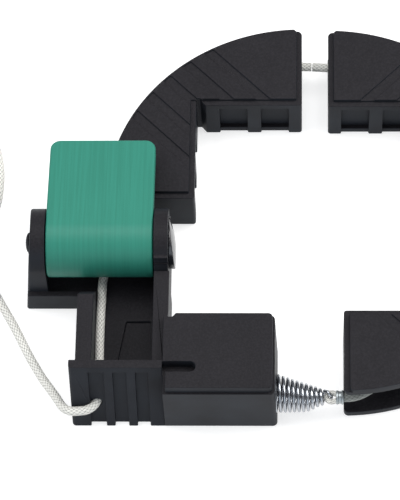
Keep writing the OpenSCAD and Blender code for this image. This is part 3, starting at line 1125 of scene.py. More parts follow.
@dataclass
class Cord:
    """The braided cord: round the blocks, down the channel and out to its stored coil.

    Angles round a block are measured at the middle of its groove's curve.
    """

    diameter: float = 3.2
    z: float = 10.0
    # The middles of the blocks' grooves, and the radius at which the cord lies in them.
    upper_left: Point = (0.7, 6.4)
    upper_right: Point = (10.2, 5.8)
    lower_right: Point = (15.2, 0.2)
    wrap: float = 60.2
    # The channel, how far the cord bows to the left in it, and the turn inside the nose.
    channel_x: float = -69.8
    channel_front: float = -62.35
    sway: float = 0.35
    bend: float = 6.4
    bend_y: float = -65.95
    # The bend behind the channel: its middle and radius.
    lead: Point = (-49.8, -23.85)
    lead_r: float = 20.0
    # Angles at which the left, top, right and bottom runs touch the blocks, and how far a
    # groove's stretch stops short of them.
    heading_in: float = 163.992
    heading_top: float = 86.386
    side_from: float = 25.0
    side_to: float = -8.0
    run_out: float = -70.0
    gap: float = 0.2855
    # The bottom run's line, where it leaves the ferrule, and where it starts to stretch.
    line_y: float = -67.0
    lead_x: float = 14.36
    split_x: float = 16.2
    # The coil: its middle, inner radius, turns in each layer, and the lowest turn's height.
    coil_c: Point = (-141.6, 36.0)
    coil_in: float = 10.85
    pitch: float = 3.7
    turns: float = 4.5
    layers: int = 4
    coil_z: float = 2.5
    free_length: float = 2.267  # In metres.

    def __post_init__(self) -> None:
        """Sets the outermost turn's radius and the number of turns in all."""
        self.coil_out = self.coil_in + self.pitch * self.turns
        self.coil_total = self.turns * self.layers - 0.5

    def coil_radius(self, turn: float) -> float:
        """Gives the coil's radius.

        Args:
            turn: Turns from the coil's start.

        Returns:
            The radius there.
        """
        layer = math.floor(turn / self.turns)
        done = self.pitch * (turn - layer * self.turns)
        return self.coil_out - done if layer % 2 == 0 else self.coil_in + done

    def coil_height(self, turn: float) -> float:
        """Gives the height of the coil's cord.

        Args:
            turn: Turns from the coil's start.

        Returns:
            The height there.
        """
        height = self.coil_z
        for layer in range(1, self.layers):
            t = min(max((turn - layer * self.turns) * 2 + 0.5, 0.0), 1.0)
            height += self.pitch * t * t * (3 - 2 * t)
        return height

    def coil_path(self, steps: int = 36) -> list[Vector]:
        """Gives the coil's path.

        Args:
            steps: Points in each turn.

        Returns:
            The path.
        """
        points, (x, y) = [], self.coil_c
        for i in range(int(steps * self.coil_total) + 1):
            turn = i / steps
            a, r = math.radians(90 + 360 * turn), self.coil_radius(turn)
            spot = (x + r * math.cos(a), y + r * math.sin(a), self.coil_height(turn))
            points.append(Vector(spot))
        return points + [points[-1] + Vector((self.diameter, 0.0, 0.0))]

    def tail_path(self) -> list[Vector]:
        """Gives the free cord's path: off the nose, down to the table and along it to the coil.

        Returns:
            The path.
        """
        x, y = self.coil_c
        route = [
            (-76.8, -72.35, 9.9), (-79.9, -72.0, 9.3), (-82.5, -69.8, 8.1), (-84.7, -65.8, 6.2),
            (-87.0, -61.8, 4.4), (-89.5, -57.8, 2.8), (-92.0, -53.5, 1.9), (-94.6, -48.9, 1.6),
            (-97.1, -44.1, 1.6), (-99.5, -39.2, 1.6), (-102.0, -34.4, 1.6), (-104.5, -30.0, 1.6),
            (-107.0, -25.6, 1.6), (-109.6, -20.2, 1.6), (-111.3, -13.5, 1.6), (-112.0, -6.0, 1.6),
            (-111.6, 2.0, 1.6), (-110.4, 10.0, 1.6), (-109.2, 18.5, 1.6), (-109.2, 27.5, 1.6),
            (-110.8, 36.0, 1.7), (-114.0, 44.5, 1.9), (-119.2, 52.3, 2.2), (-126.2, 58.8, 2.4),
            (-134.0, 62.6, 2.5), (x + self.diameter, y + self.coil_out, self.coil_z),
        ]
        middle = (self.channel_x - self.bend, self.bend_y)
        turn = Line.arc(middle, self.bend, 0.0, -75.0, 8, self.z)
        return [
            Vector((self.channel_x, self.channel_front, self.z)), *turn, *Line.smooth(route, 4)
        ]

    def free_cord(self, braid: bpy.types.Material) -> Object:
        """Makes the free cord: tail and coil in one tube.

        Args:
            braid: Its finish.

        Returns:
            The cord.
        """
        self.free_path = Line.clean(self.tail_path() + self.coil_path())
        piece = Line.tube("free_cord", self.free_path, self.diameter, 12)
        Bench.dress(piece, braid, "braid", "cord_tail", "cord_coil")
        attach(piece, "tensioner")
        LOG.info("free cord is %.1f mm long", Line.length(self.free_path))
        return piece

    def arcs(self, braid: bpy.types.Material) -> None:
        """Makes the stretches that lie in the blocks' grooves.

        Args:
            braid: Their finish.
        """
        top, gap = self.heading_top, self.gap
        plan = (
            ("upper_left", self.upper_left, top, self.heading_in, "upper_left"),
            ("upper_right", self.upper_right, self.side_from, top, "upper_right"),
            ("lower_right", self.lower_right, self.run_out, self.side_to, "side_cord"),
        )
        for name, centre, start, end, body in plan:
            path = Line.arc(centre, self.wrap, start + gap, end - gap, 48, self.z)
            piece = Line.tube(f"cord_in_{name}_block", path, self.diameter)
            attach(Bench.dress(piece, braid, "braid", f"cord_arc_{name}"), body)

    def point(self, centre: Point, angle: float) -> Vector:
        """Gives the point at which the cord meets a block's curve.

        Args:
            centre: The curve's middle.
            angle: The angle there.

        Returns:
            The point.
        """
        return Line.arc(centre, self.wrap, angle, angle, 1, self.z)[0]

    @staticmethod
    def ease(
        start: Vector, heading: float, end: Vector, home: float, steps: int = 30
    ) -> list[Vector]:
        """Gives a gentle bend between two points in the cord's plane.

        Args:
            start: First point.
            heading: Heading there, from +X.
            end: Last point.
            home: Heading there.
            steps: Number of steps.

        Returns:
            The path.
        """
        reach = (end - start).length
        v, w = (
            Vector((math.cos(math.radians(a)), math.sin(math.radians(a)), 0.0)) * reach
            for a in (heading, home)
        )
        return [
            start * (1 - 3 * t * t + 2 * t**3)
            + v * (t - 2 * t * t + t**3)
            + end * (3 * t * t - 2 * t**3)
            + w * (t**3 - t * t)
            for t in (i / steps for i in range(steps + 1))
        ]

    def runs(self, braid: bpy.types.Material, painted_shadow_braid: bpy.types.Material) -> None:
        """Makes the stretches between the blocks, and those in the channel and at the ferrule.

        Args:
            braid: Their finish.
            painted_shadow_braid: The greyer braid of what lies beside the ferrule, darkened as a
                painted shadow.
        """
        bend = Line.arc(self.lead, self.lead_r, 180.0, self.heading_in, 8, self.z)
        into = self.point(self.upper_left, self.heading_in)
        left = bend + Line.straight(bend[-1], into, 24)[1:]
        top = [self.point(block, self.heading_top) for block in (self.upper_left, self.upper_right)]
        side = self.ease(
            self.point(self.upper_right, self.side_from),
            self.side_from - 90.0,
            self.point(self.lower_right, self.side_to),
            self.side_to - 90.0,
        )
        split = Vector((self.split_x, self.line_y, self.z))
        under = self.point(self.lower_right, self.run_out)
        bottom = self.ease(split, 0.0, under, self.run_out + 90.0)
        plan = (
            ("left", left, ("tensioner", "upper_left"), bend[4]),
            ("top", Line.straight(*top, 8), ("upper_left", "upper_right"), top[0]),
            ("right", side, ("upper_right", "side_cord"), side[0]),
            ("bottom", bottom, ("tensioner", "lower_right"), split),
        )
        for name, path, bodies, start in plan:
            tube = Line.tube(f"cord_{name}_run", path, self.diameter)
            # The bottom run lies under the lower right block's roof; its greyer braid is a painted
            # shadow.
            finish = painted_shadow_braid if name == "bottom" else braid
            piece = Bench.dress(tube, finish, "braid", f"cord_run_{name}")
            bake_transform(piece)
        # The lead beside the ferrule gets the same painted shadow.
        lead = Line.straight((self.lead_x, self.line_y, self.z), split, 8)
        piece = Line.tube("cord_lead", lead, self.diameter)
        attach(Bench.dress(piece, painted_shadow_braid, "braid", "cord_run_bottom"), "cord_end")
        ends = [(self.channel_x, y, self.z) for y in (self.lead[1], self.channel_front)]
        down = Line.straight(*ends, 24)
        length = down[-1].y - down[0].y
        for spot in down:
            spot.x -= self.sway * math.sin(math.pi * (spot.y - down[0].y) / length)
        piece = Line.tube("cord_in_channel", down, self.diameter)
        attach(Bench.dress(piece, braid, "braid", "cord_channel"), "tensioner")


# ---------- Corner blocks ----------


@dataclass
class CornerBlock:
    """A plain corner block, modelled once at the upper left and copied to the other corners.

    Its two arms run from the corner to the right and to the front. Their inner sides are the
    jaws, and a bow closes the block on the outside, with the cord's groove round it.
    """

    # Inner corners of the upper left, upper right and lower right blocks.
    corner: Point = (-37.5, 44.6)
    right_corner: Point = (48.4, 44.0)
    front_corner: Point = (53.4, -38.0)
    # The arms' length, and the radii of the bow and of the groove's back.
    arm: float = 38.2
    bow: float = 69.7
    core: float = 58.3
    # Heights of the groove's floor and roof, of the deck, and of the panel that stands back.
    base: float = 3.0
    roof: float = 17.0
    deck: float = 19.5
    height: float = 21.0
    margin: float = 2.0
    # The jaws: ribs, the pockets between them, and the web under each pocket.
    rib_first: float = 5.9
    rib_pitch: float = 15.0
    rib: float = 5.0
    pocket: float = 2.5
    web: float = 2.5
    web_back: float = 0.8
    # The notch at the inner corner, and the slope of its end.
    notch: Point = (3.4, 2.2)
    notch_slope: Point = (2.2, 1.8)
    # The panel's diagonal grooves, which stop short of the bow.
    stripe_pitch: float = 9.3
    stripe: float = 3.6
    stripe_depth: float = 0.7
    stripe_mid: float = 28.0
    stripe_len: float = 120.0
    stripe_rim: float = 0.7
    edge: float = 0.3

    def local(self, x: float, y: float, z: float) -> Point:
        """Gives the layout place of a point measured from the block's inner corner."""
        return (self.corner[0] + x, self.corner[1] + y, z)

    def disc(self, radius: float, low: float, high: float) -> Object:
        """Makes a disc round the middle of the block's bow.

        Args:
            radius: Its radius.
            low: Height of its underside.
            high: Height of its top.

        Returns:
            The disc.
        """
        return Bench.rod(self.local(self.arm, -self.arm, 0), radius, low, high, Axis.Z, 200, "disc")

    def plate(self, radius: float, margin: float, low: float, high: float) -> Object:
        """Makes one level of the block: a disc trimmed to the two arms.

        Args:
            radius: Radius of its outer curve.
            margin: How far its straight sides stand back.
            low: Height of its underside.
            high: Height of its top.

        Returns:
            The level.
        """
        plate = self.disc(radius, low, high)
        Bench.cut(plate, self.local(self.arm - margin, 0, 0), (1, 0, 0))
        Bench.cut(plate, self.local(0, margin - self.arm, 0), (0, -1, 0))
        near = self.local(-margin, -2 * self.bow, low - 1)
        inside = Bench.slab(near, self.local(2 * self.bow, margin, high + 1))
        return Bench.join(plate, inside, "DIFFERENCE")

    def pockets(self) -> list[Object]:
        """Makes the cutters between the ribs of both jaw faces.

        Returns:
            The cutters.
        """
        cutters = []
        start = self.rib_first + self.rib / 2
        while start < self.arm:
            end = min(start + self.rib_pitch - self.rib, self.arm + 1)
            for low, deep in ((self.web, self.pocket), (-1.0, self.web_back)):
                top = self.roof if low > 0 else self.web + 0.01
                cutters.append(Bench.slab(self.local(start, -1, low), self.local(end, deep, top)))
                cutters.append(Bench.slab(self.local(-deep, -end, low), self.local(1, -start, top)))
            start += self.rib_pitch
        return cutters

    def stripes(self) -> list[Object]:
        """Makes the cutters of the diagonal grooves in the panel.

        Returns:
            The cutters.
        """
        cutters = []
        half = Vector((self.stripe / 2, self.stripe_len / 2, self.stripe_depth))
        for k in range(-2, 3):
            step, mid = k * self.stripe_pitch / math.sqrt(2), self.stripe_mid
            middle = Vector(self.local(step - mid, step + mid, self.height))
            within = self.disc(self.bow - self.stripe_rim, 0, self.stripe_len / 2)
            stripe = Bench.slab(middle - half, middle + half, turn=45)
            cutters.append(Bench.join(stripe, within, "INTERSECT"))
        return cutters

    def relief(self) -> Object:
        """Makes the cutter of the notch that clears a frame's corner.

        Returns:
            The cutter.
        """
        x, y = self.notch
        notch = Bench.slab(self.local(0, -1, -1), self.local(x, y, self.height + 1))
        return Bench.cut(notch, self.local(x, 0, 0), (*self.notch_slope, 0))

    def corners(self) -> list[Object]:
        """Makes the cutters that round the upright corners at the arms' ends.

        Returns:
            The cutters.
        """
        cutters = []
        far, inset = self.bow - self.arm, self.arm - self.margin
        posts = (
            (self.arm, far, 1, 1.8, -1.0),
            (self.arm, 0.0, -1, 1.0, -1.0),
            (inset, far, 1, 1.5, self.deck),
        )
        for x, y, out, radius, foot in posts:
            spots = (x - radius, y - out * radius), (x + 1, y + out)
            for turned in (False, True):
                ends = [self.local(-v, -u, 0) if turned else self.local(u, v, 0) for u, v in spots]
                low = (min(e[0] for e in ends), min(e[1] for e in ends), foot)
                high = (max(e[0] for e in ends), max(e[1] for e in ends), self.height + 1)
                post = Bench.rod(ends[0], radius, -2, self.height + 2, Axis.Z, 48)
                cutters.append(Bench.join(Bench.slab(low, high), post, "DIFFERENCE"))
        return cutters

    def model(self) -> Object:
        """Models the upper left block.

        Returns:
            The block.
        """
        block = self.plate(self.bow, 0.0, 0.0, self.base)
        levels = [
            self.plate(self.core, 0.0, 0.0, self.deck),
            self.plate(self.bow, 0.0, self.roof, self.deck),
            self.plate(self.bow, self.margin, self.roof + 1, self.height),
        ]
        cutters = [*self.pockets(), self.relief(), *self.stripes(), *self.corners()]
        Bench.build(block, levels, cutters)
        return Bench.soften(block, self.edge)

    def build(self, plastic: bpy.types.Material) -> None:
        """Makes the three blocks.

        Args:
            plastic: Their finish.
        """
        first = self.model()
        plan = (
            ("upper_left", self.corner, 0.0),
            ("upper_right", self.right_corner, -90.0),
            ("lower_right", self.front_corner, 180.0),
        )
        home = Matrix.Translation(-at(self.local(0, 0, 0)))
        for body, corner, angle in plan:
            block = linked(f"{body}_block", first.data.copy())
            block.data.name = block.name
            turn = Matrix.Rotation(math.radians(angle), 4, "Z")
            block.data.transform(Matrix.Translation(at((*corner, 0.0))) @ turn @ home)
            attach(Bench.dress(block, plastic, "black_plastic", f"corner_{body}"), body)
        Bench.scrap(first)


# ---------- Tensioner ----------


@dataclass
class Tensioner:
    """The corner block with the arm, the cleat nose, the cord's channel and the lever's housing.

    Two walls run back from the nose with the channel between them, and end in the ears that
    carry the lever.
    """

    corner: Point = (-45.5, -43.2)
    # The arm, with its leaning end, and the panel that stands back on it.
    right: float = -8.6
    front: float = -73.45
    arm_h: float = 26.0
    arm_edge: float = 1.6
    draft: float = 0.03
    top: float = 29.5
    margin: float = 0.8
    panel_edge: float = 1.5
    # Length and width of the panel's slot, then of the saw line, and the slot's other sizes.
    slot: Point = (11.5, 3.8)
    saw: Point = (1.0, 9.0)
    slot_y: float = 7.1
    slot_sunk: float = 0.8
    slot_edge: float = 1.8
    # Radius and depth of the spring's seat.
    seat: float = 7.05
    seat_deep: float = 1.2
    # The nose, with the depth of its flat top, and the cord's bore through it.
    nose_left: float = -79.3
    nose_right: float = -47.0
    nose_back: float = -61.95
    nose_top: float = 3.2
    nose_edge: float = 1.2
    bore: float = 3.8
    # The cleat's slots: their depth in the slope, and where they stop at the back and the top.
    cleat: float = 1.5
    cleat_slots: Sequence[Point] = ((-72.6, -67.3), (-64.2, -59.5), (-56.4, -52.0))
    cleat_back: float = 1.6
    cleat_top: float = 2.4
    # The channel: both sides of its left wall, the right wall's inner side, and the floor.
    wall_l: Point = (-77.3, -71.8)
    wall_r: float = -50.9
    wall_slope: float = 9.0
    channel_back: float = -27.85
    floor: float = 8.2
    # The floor's pocket: its distance from the right wall and the back, width and length.
    pocket_off: Point = (1.5, 9.0)
    pocket: Point = (8.7, 16.6)
    pocket_slant: float = 2.8
    # The housing, how much its left face leans out, and the low wall between its ears.
    housing: Point = (-95.0, -45.9)
    housing_back: float = -1.95
    housing_lean: float = 0.088
    housing_edge: float = 0.9
    bay_wall: float = 10.2
    bay_wall_t: float = 2.0
    # The ears' inner sides and radius, and the radii of the fillet, the pin and its head's seat.
    ear_l: float = -88.9
    ear_r: float = -50.9
    ear_radius: float = 12.0
    fillet: float = 6.0
    pin: float = 2.5
    pin_sink: float = 3.75
    edge: float = 0.3

    def nose_plane(self, back: float) -> tuple[Point, Vector]:
        """Gives the nose's sloping face.

        Args:
            back: How far it is moved back.

        Returns:
            A point on it, and the direction out of it.
        """
        out = Vector((0.0, -self.top, self.nose_back - self.nose_top - self.front))
        return (0.0, self.front + back, 0.0), out.normalized()

    def nose(self) -> Object:
        """Models the nose with its sloping face.

        Returns:
            The nose.
        """
        high = (self.nose_right, self.nose_back, self.top)
        nose = Bench.slab((self.nose_left, self.front, 0), high, "nose")
        Bench.cut(nose, *self.nose_plane(0.0))

        def left_slope(a: Vector, b: Vector) -> bool:
            """Says whether an edge climbs the nose's left side at the front."""
            outside = max(a.x, b.x) < self.nose_left + 0.1
            return outside and max(a.y, b.y) < self.nose_back - 1 and abs(a.z - b.z) > 5

        return Bench.round_edges(nose, left_slope, self.nose_edge)

    def slots(self) -> list[Object]:
        """Makes the cutters of the cleat's slots.

        Returns:
            The cutters.
        """
        cutters = []
        back, high = self.nose_back - self.cleat_back, self.top - self.cleat_top
        for start, end in self.cleat_slots:
            slot = Bench.slab((start, self.front - 2, -1), (end, back, high))
            point, out = self.nose_plane(self.cleat)
            cutters.append(Bench.cut(slot, point, -out))
        return cutters

    def arm(self) -> list[Object]:
        """Models the arm and its raised panel.

        Returns:
            The arm and the panel.
        """
        left, front = self.nose_right, self.front
        arm = Bench.slab((left, front, 0), (self.right + 1, self.corner[1], self.arm_h), "arm")
        Bench.cut(arm, (self.right, 0, self.arm_h), (1.0, 0.0, self.draft))
        Bench.round_edges(
            arm, lambda a, b: upright(a, b) and min(a.x, b.x) > left + 1, self.arm_edge
        )
        panel = Bench.slab(
            (left, front + self.margin, self.arm_h - 1),
            (self.right - self.margin, self.corner[1] - self.margin, self.top),
            "panel",
        )

        def free_corner(a: Vector, b: Vector) -> bool:
            """Says whether an edge is a corner of the panel that isn't beside the saw line."""
            inward = max(min(a.x, b.x) - left, min(a.y, b.y) - front - 8)
            return upright(a, b) and inward > 1

        return [arm, Bench.round_edges(panel, free_corner, self.panel_edge)]

    def ear(self, left: float, right: float) -> Object:
        """Models an ear: round at the top, square at the table.

        Args:
            left: Its left side.
            right: Its right side.

        Returns:
            The ear.
        """
        y, z = PIVOT
        ear = Bench.rod((0, y, z), self.ear_radius, left, right, Axis.X, name="ear")
        foot = Bench.slab((left, y - self.ear_radius, 0), (right, self.housing_back, z))
        heel = Bench.slab((left, self.channel_back, 0), (right, self.housing_back, self.bay_wall))
        return Bench.build(ear, [foot, heel], [])

    def ear_fillet(self) -> Object:
        """Models the hollow curve from the right ear down to the channel's wall.

        Returns:
            The fillet.
        """
        y, z = PIVOT
        right = self.housing[1]
        rise = self.arm_h + self.fillet - z
        foot = y - math.sqrt((self.ear_radius + self.fillet) ** 2 - rise**2)
        web = Bench.slab((self.ear_r, foot, self.arm_h - 1), (right, y, z + rise))
        Bench.cut(web, (0, y, z), (0, -rise, foot - y))
        middle = (0, foot, z + rise)
        hollow = Bench.rod(middle, self.fillet, self.ear_r - 1, right + 1, Axis.X)
        return Bench.join(web, hollow, "DIFFERENCE")

    def exit_bore(self) -> Object:
        """Makes the cutter of the cord's way out: straight, then round to the left.

        Returns:
            The cutter.
        """
        x, y, z, bend = Cord.channel_x, Cord.bend_y, Cord.z, Cord.bend
        path = [Vector((x, self.nose_back + 1, z)), Vector((x, y + 0.5, z))]
        path += Line.arc((x - bend, y), bend, 0.0, -90.0, 16, z)
        path.append(Vector((x - 2 * bend, y - bend, z)))
        return Line.tube("bore", path, self.bore, 32)

    def panel_slot(self) -> Object:
        """Makes the cutter of the panel's slot, which is round at its right end.

        Returns:
            The cutter.
        """
        (length, width), low = self.slot, self.arm_h - self.slot_sunk
        x, y = self.nose_right - 0.2, self.front + self.slot_y
        slot = Bench.slab((x, y, low), (x + length, y + width, self.top + 1), "slot")
        return Bench.round_edges(
            slot, lambda a, b: upright(a, b) and min(a.x, b.x) > x + 8, self.slot_edge, 4
        )

    def floor_pocket(self) -> Object:
        """Makes the cutter of the pocket in the channel's floor.

        Returns:
            The cutter.
        """
        right, back = self.wall_r - self.pocket_off[0], self.channel_back - self.pocket_off[1]
        (width, length), slant = self.pocket, self.pocket_slant
        low = (right - width - slant, back - length, self.floor - 1)
        pocket = Bench.slab(low, (right, back, self.floor + 1), "pocket")
        return Bench.cut(pocket, (right - width, back, 0), (-length, slant, 0))

    def housing_block(self) -> Object:
        """Models the housing's left side: base, low wall and left ear, with a leaning outer face.

        Returns:
            The housing.
        """
        (left, right), foot = self.housing, self.housing[0] - 3
        front, back = self.channel_back, self.housing_back
        housing = Bench.slab((self.ear_l - 1, front, 0), (right, back, self.floor), "housing")
        high = (self.wall_l[1], front + self.bay_wall_t, self.bay_wall)
        wall = Bench.slab((foot, front, 0), high)
        Bench.build(housing, [wall, self.ear(foot, self.ear_l)], [])
        Bench.cut(housing, (left, 0, PIVOT[1]), (-1.0, 0.0, self.housing_lean))
        Bench.tidy(housing)

        def outside(p: Vector) -> bool:
            """Says whether a point lies on the leaning face."""
            return p.x < left - self.housing_lean * (PIVOT[1] - p.z) + 0.15

        def rim(a: Vector, b: Vector) -> bool:
            """Says whether an edge bounds the leaning face above the table."""
            return outside(a) and outside(b) and max(a.z, b.z) > 0.1

        return Bench.round_edges(housing, rim, self.housing_edge)

    def left_wall(self) -> Object:
        """Models the channel's left wall, which slopes down to the housing.

        Returns:
            The wall.
        """
        back, high = self.channel_back + self.bay_wall_t, self.arm_h
        left, right = self.wall_l
        wall = Bench.slab((left, self.nose_back - 1, 0), (right, back, high), "wall")
        return Bench.cut(wall, (0, back, self.bay_wall), (0, high - self.bay_wall, self.wall_slope))

    def relief(self) -> Object:
        """Makes the cutter of the notch that clears a frame's corner.

        Returns:
            The cutter.
        """
        (x, y), (width, depth) = self.corner, CornerBlock.notch
        slope_x, slope_y = CornerBlock.notch_slope
        notch = Bench.slab((x, y - depth, -1), (x + width, y + 1, self.top + 1))
        return Bench.cut(notch, (x + width, y, 0), (slope_x, -slope_y, 0))

    def model(self) -> Object:
        """Models the body.

        Returns:
            The body.
        """
        (left, right), (jaw_x, jaw_y) = self.housing, self.corner
        front, high = self.nose_back - 1, self.arm_h
        body, panel = self.arm()
        added = [
            panel,
            self.nose(),
            Bench.slab((self.wall_l[0], front, 0), (jaw_x, self.channel_back + 1, self.floor)),
            self.left_wall(),
            Bench.slab((self.wall_r, front, 0), (jaw_x, self.channel_back + self.bay_wall_t, high)),
            Bench.slab((self.nose_right - 1, front, 0), (jaw_x, jaw_y + 1, high)),
            self.housing_block(),
            self.ear(self.ear_r, right),
            self.ear_fillet(),
        ]
        saw_x, saw_y = self.nose_right + self.saw[0], self.front + self.saw[1]
        saw = (self.nose_right - 0.2, self.front - 1, high), (saw_x, saw_y, self.top + 1)
        seat = (0, SpringEnd.y0, SpringEnd.z)
        removed = [
            *self.slots(),
            self.exit_bore(),
            self.floor_pocket(),
            self.panel_slot(),
            Bench.slab(*saw),
            self.relief(),
            Bench.rod(seat, self.seat, self.right - self.seat_deep, self.right + 2, Axis.X),
            Bench.rod((0, *PIVOT), self.pin, left - 2, jaw_x + 2, Axis.X, 48),
            Bench.rod((0, *PIVOT), self.pin_sink, left - 3, left, Axis.X, 48),
        ]
        Bench.build(body, added, removed)
        body.name = body.data.name = "tensioner_block"
        return Bench.soften(body, self.edge)

    def build(self, plastic: bpy.types.Material) -> None:
        """Makes the tensioner's body.

        Args:
            plastic: Its finish.
        """
        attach(Bench.dress(self.model(), plastic, "black_plastic", "tensioner_body"), "tensioner")


# ---------- Lever and pivot ----------


@dataclass
class Lever:
    """The green cam lever: a cam round the pivot, off its middle, and a paddle."""

    left: float = -88.6
    right: float = -51.2
    # The cam's radius, and how far its middle lies under the pivot.
    cam: float = 11.8
    throw: float = 0.6
    # The paddle: how far it reaches behind the pivot, its thickness, fall and corners.
    reach: float = 38.7
    thick: float = 5.0
    slope: float = 9.0
    corner: float = 3.7
    bore: float = 2.55
    edge: float = 0.7

    def outline(self) -> list[Point]:
        """Gives the lever's side view: the cam, and the paddle that leaves it without a step.

        Returns:
            Its points, y and z.
        """
        (y, z), s = PIVOT, math.radians(self.slope)
        along, up = Vector((math.cos(s), -math.sin(s))), Vector((math.sin(s), math.cos(s)))
        middle = Vector((y, z - self.throw))
        length = (self.reach - self.cam * math.sin(s)) / math.cos(s)
        tip = middle + up * self.cam + along * length
        turn = math.acos((self.cam - self.thick) / self.cam)
        start, end = math.pi / 2 - s, math.pi / 2 - s - turn + 2 * math.pi
        cam = [start + (end - start) * i / 120 for i in range(121)]
        return [tuple(tip - up * self.thick), tuple(tip)] + [
            tuple(middle + Vector((math.cos(a), math.sin(a))) * self.cam) for a in cam
        ]

    def build(self, plastic: bpy.types.Material) -> None:
        """Makes the lever.

        Args:
            plastic: Its finish.
        """
        lever = Bench.sweep(self.outline(), self.left, self.right, "lever")
        tip = PIVOT[0] + self.reach

        def paddle_corner(a: Vector, b: Vector) -> bool:
            """Says whether an edge is a corner of the paddle's end."""
            return min(a.y, b.y) > tip - 3 and abs(a.x - b.x) < 0.1 and (a - b).length > 1

        Bench.round_edges(lever, paddle_corner, self.corner, 10)
        bore = Bench.rod((0, *PIVOT), self.bore, self.left - 1, self.right + 1, Axis.X, 48)
        Bench.join(lever, bore, "DIFFERENCE")
        Bench.soften(lever, self.edge, 4)
        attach(Bench.dress(lever, plastic, "green_plastic", "lever"), "lever")


@dataclass
class Pivot:
    """The pin through the lever and the cap on its right end."""

    # The pin's radius and its domed head, from where it leaves the housing.
    pin: float = 2.5
    head: float = -95.0
    head_r: float = 3.65
    head_rise: float = 1.3
    # The cap's two sides, its radius, and the flat edge's distance from the pin.
    cap: Point = (-45.9, -43.5)
    cap_r: float = 9.25
    cap_edge: float = 0.3
    flat: float = 6.5
    # The face's dome, whose middle lies in front of the pin and under it.
    dome_rise: float = 2.55
    dome_reach: float = 13.6
    dome_off: Point = (3.6, 1.9)

    def dome(self) -> Object:
        """Makes the shallow dome that the cap's face lies on, thickest near its flat edge.

        Returns:
            The dome.
        """
        (y, z), rise, reach, start = PIVOT, self.dome_rise, self.dome_reach, self.cap[0]
        radius = (reach**2 + rise**2) / (2 * rise)
        angles = [math.asin(reach / radius) * (1 - i / 16) for i in range(17)]
        face = [(start + rise - radius * (1 - math.cos(a)), radius * math.sin(a)) for a in angles]
        outline = [(start - 2, 0), (start - 2, reach), *face[:-1], (start + rise, 0)]
        return Bench.lathe(outline, (0, y - self.dome_off[0], z - self.dome_off[1]), 96, "dome")

    def build(self, plastic: bpy.types.Material, polished: bpy.types.Material) -> None:
        """Makes the pin and its cap.

        Args:
            plastic: The pin's finish.
            polished: The cap's finish.
        """
        angles = [math.pi / 2 * i / 8 for i in range(9)]
        outline = [
            (self.head - self.head_rise * math.cos(a), self.head_r * math.sin(a)) for a in angles
        ]
        end, radius = self.cap[1] - 0.4, self.pin
        outline += [(self.head, radius), (end - 0.3, radius), (end, radius - 0.3), (end, 0)]
        pin = Bench.lathe(outline, (0, *PIVOT), 64, "pivot_pin_turned")
        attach(Bench.dress(pin, plastic, "black_plastic", "pivot_pin"), "tensioner")
        cap = Bench.rod((0, *PIVOT), self.cap_r, *self.cap, Axis.X, name="pin_cap_disc")
        Bench.cut(cap, (0, PIVOT[0], PIVOT[1] - self.flat), (0, 0, -1))
        Bench.join(cap, self.dome(), "INTERSECT")
        bore = Bench.rod((0, *PIVOT), self.pin, self.cap[0] - 1, self.cap[1] - 0.8, Axis.X, 48)
        Bench.join(cap, bore, "DIFFERENCE")
        Bench.soften(cap, self.cap_edge, 3)
        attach(Bench.dress(cap, polished, "black_plastic", "pin_cap"), "tensioner")


# ---------- Spring and cord end ----------


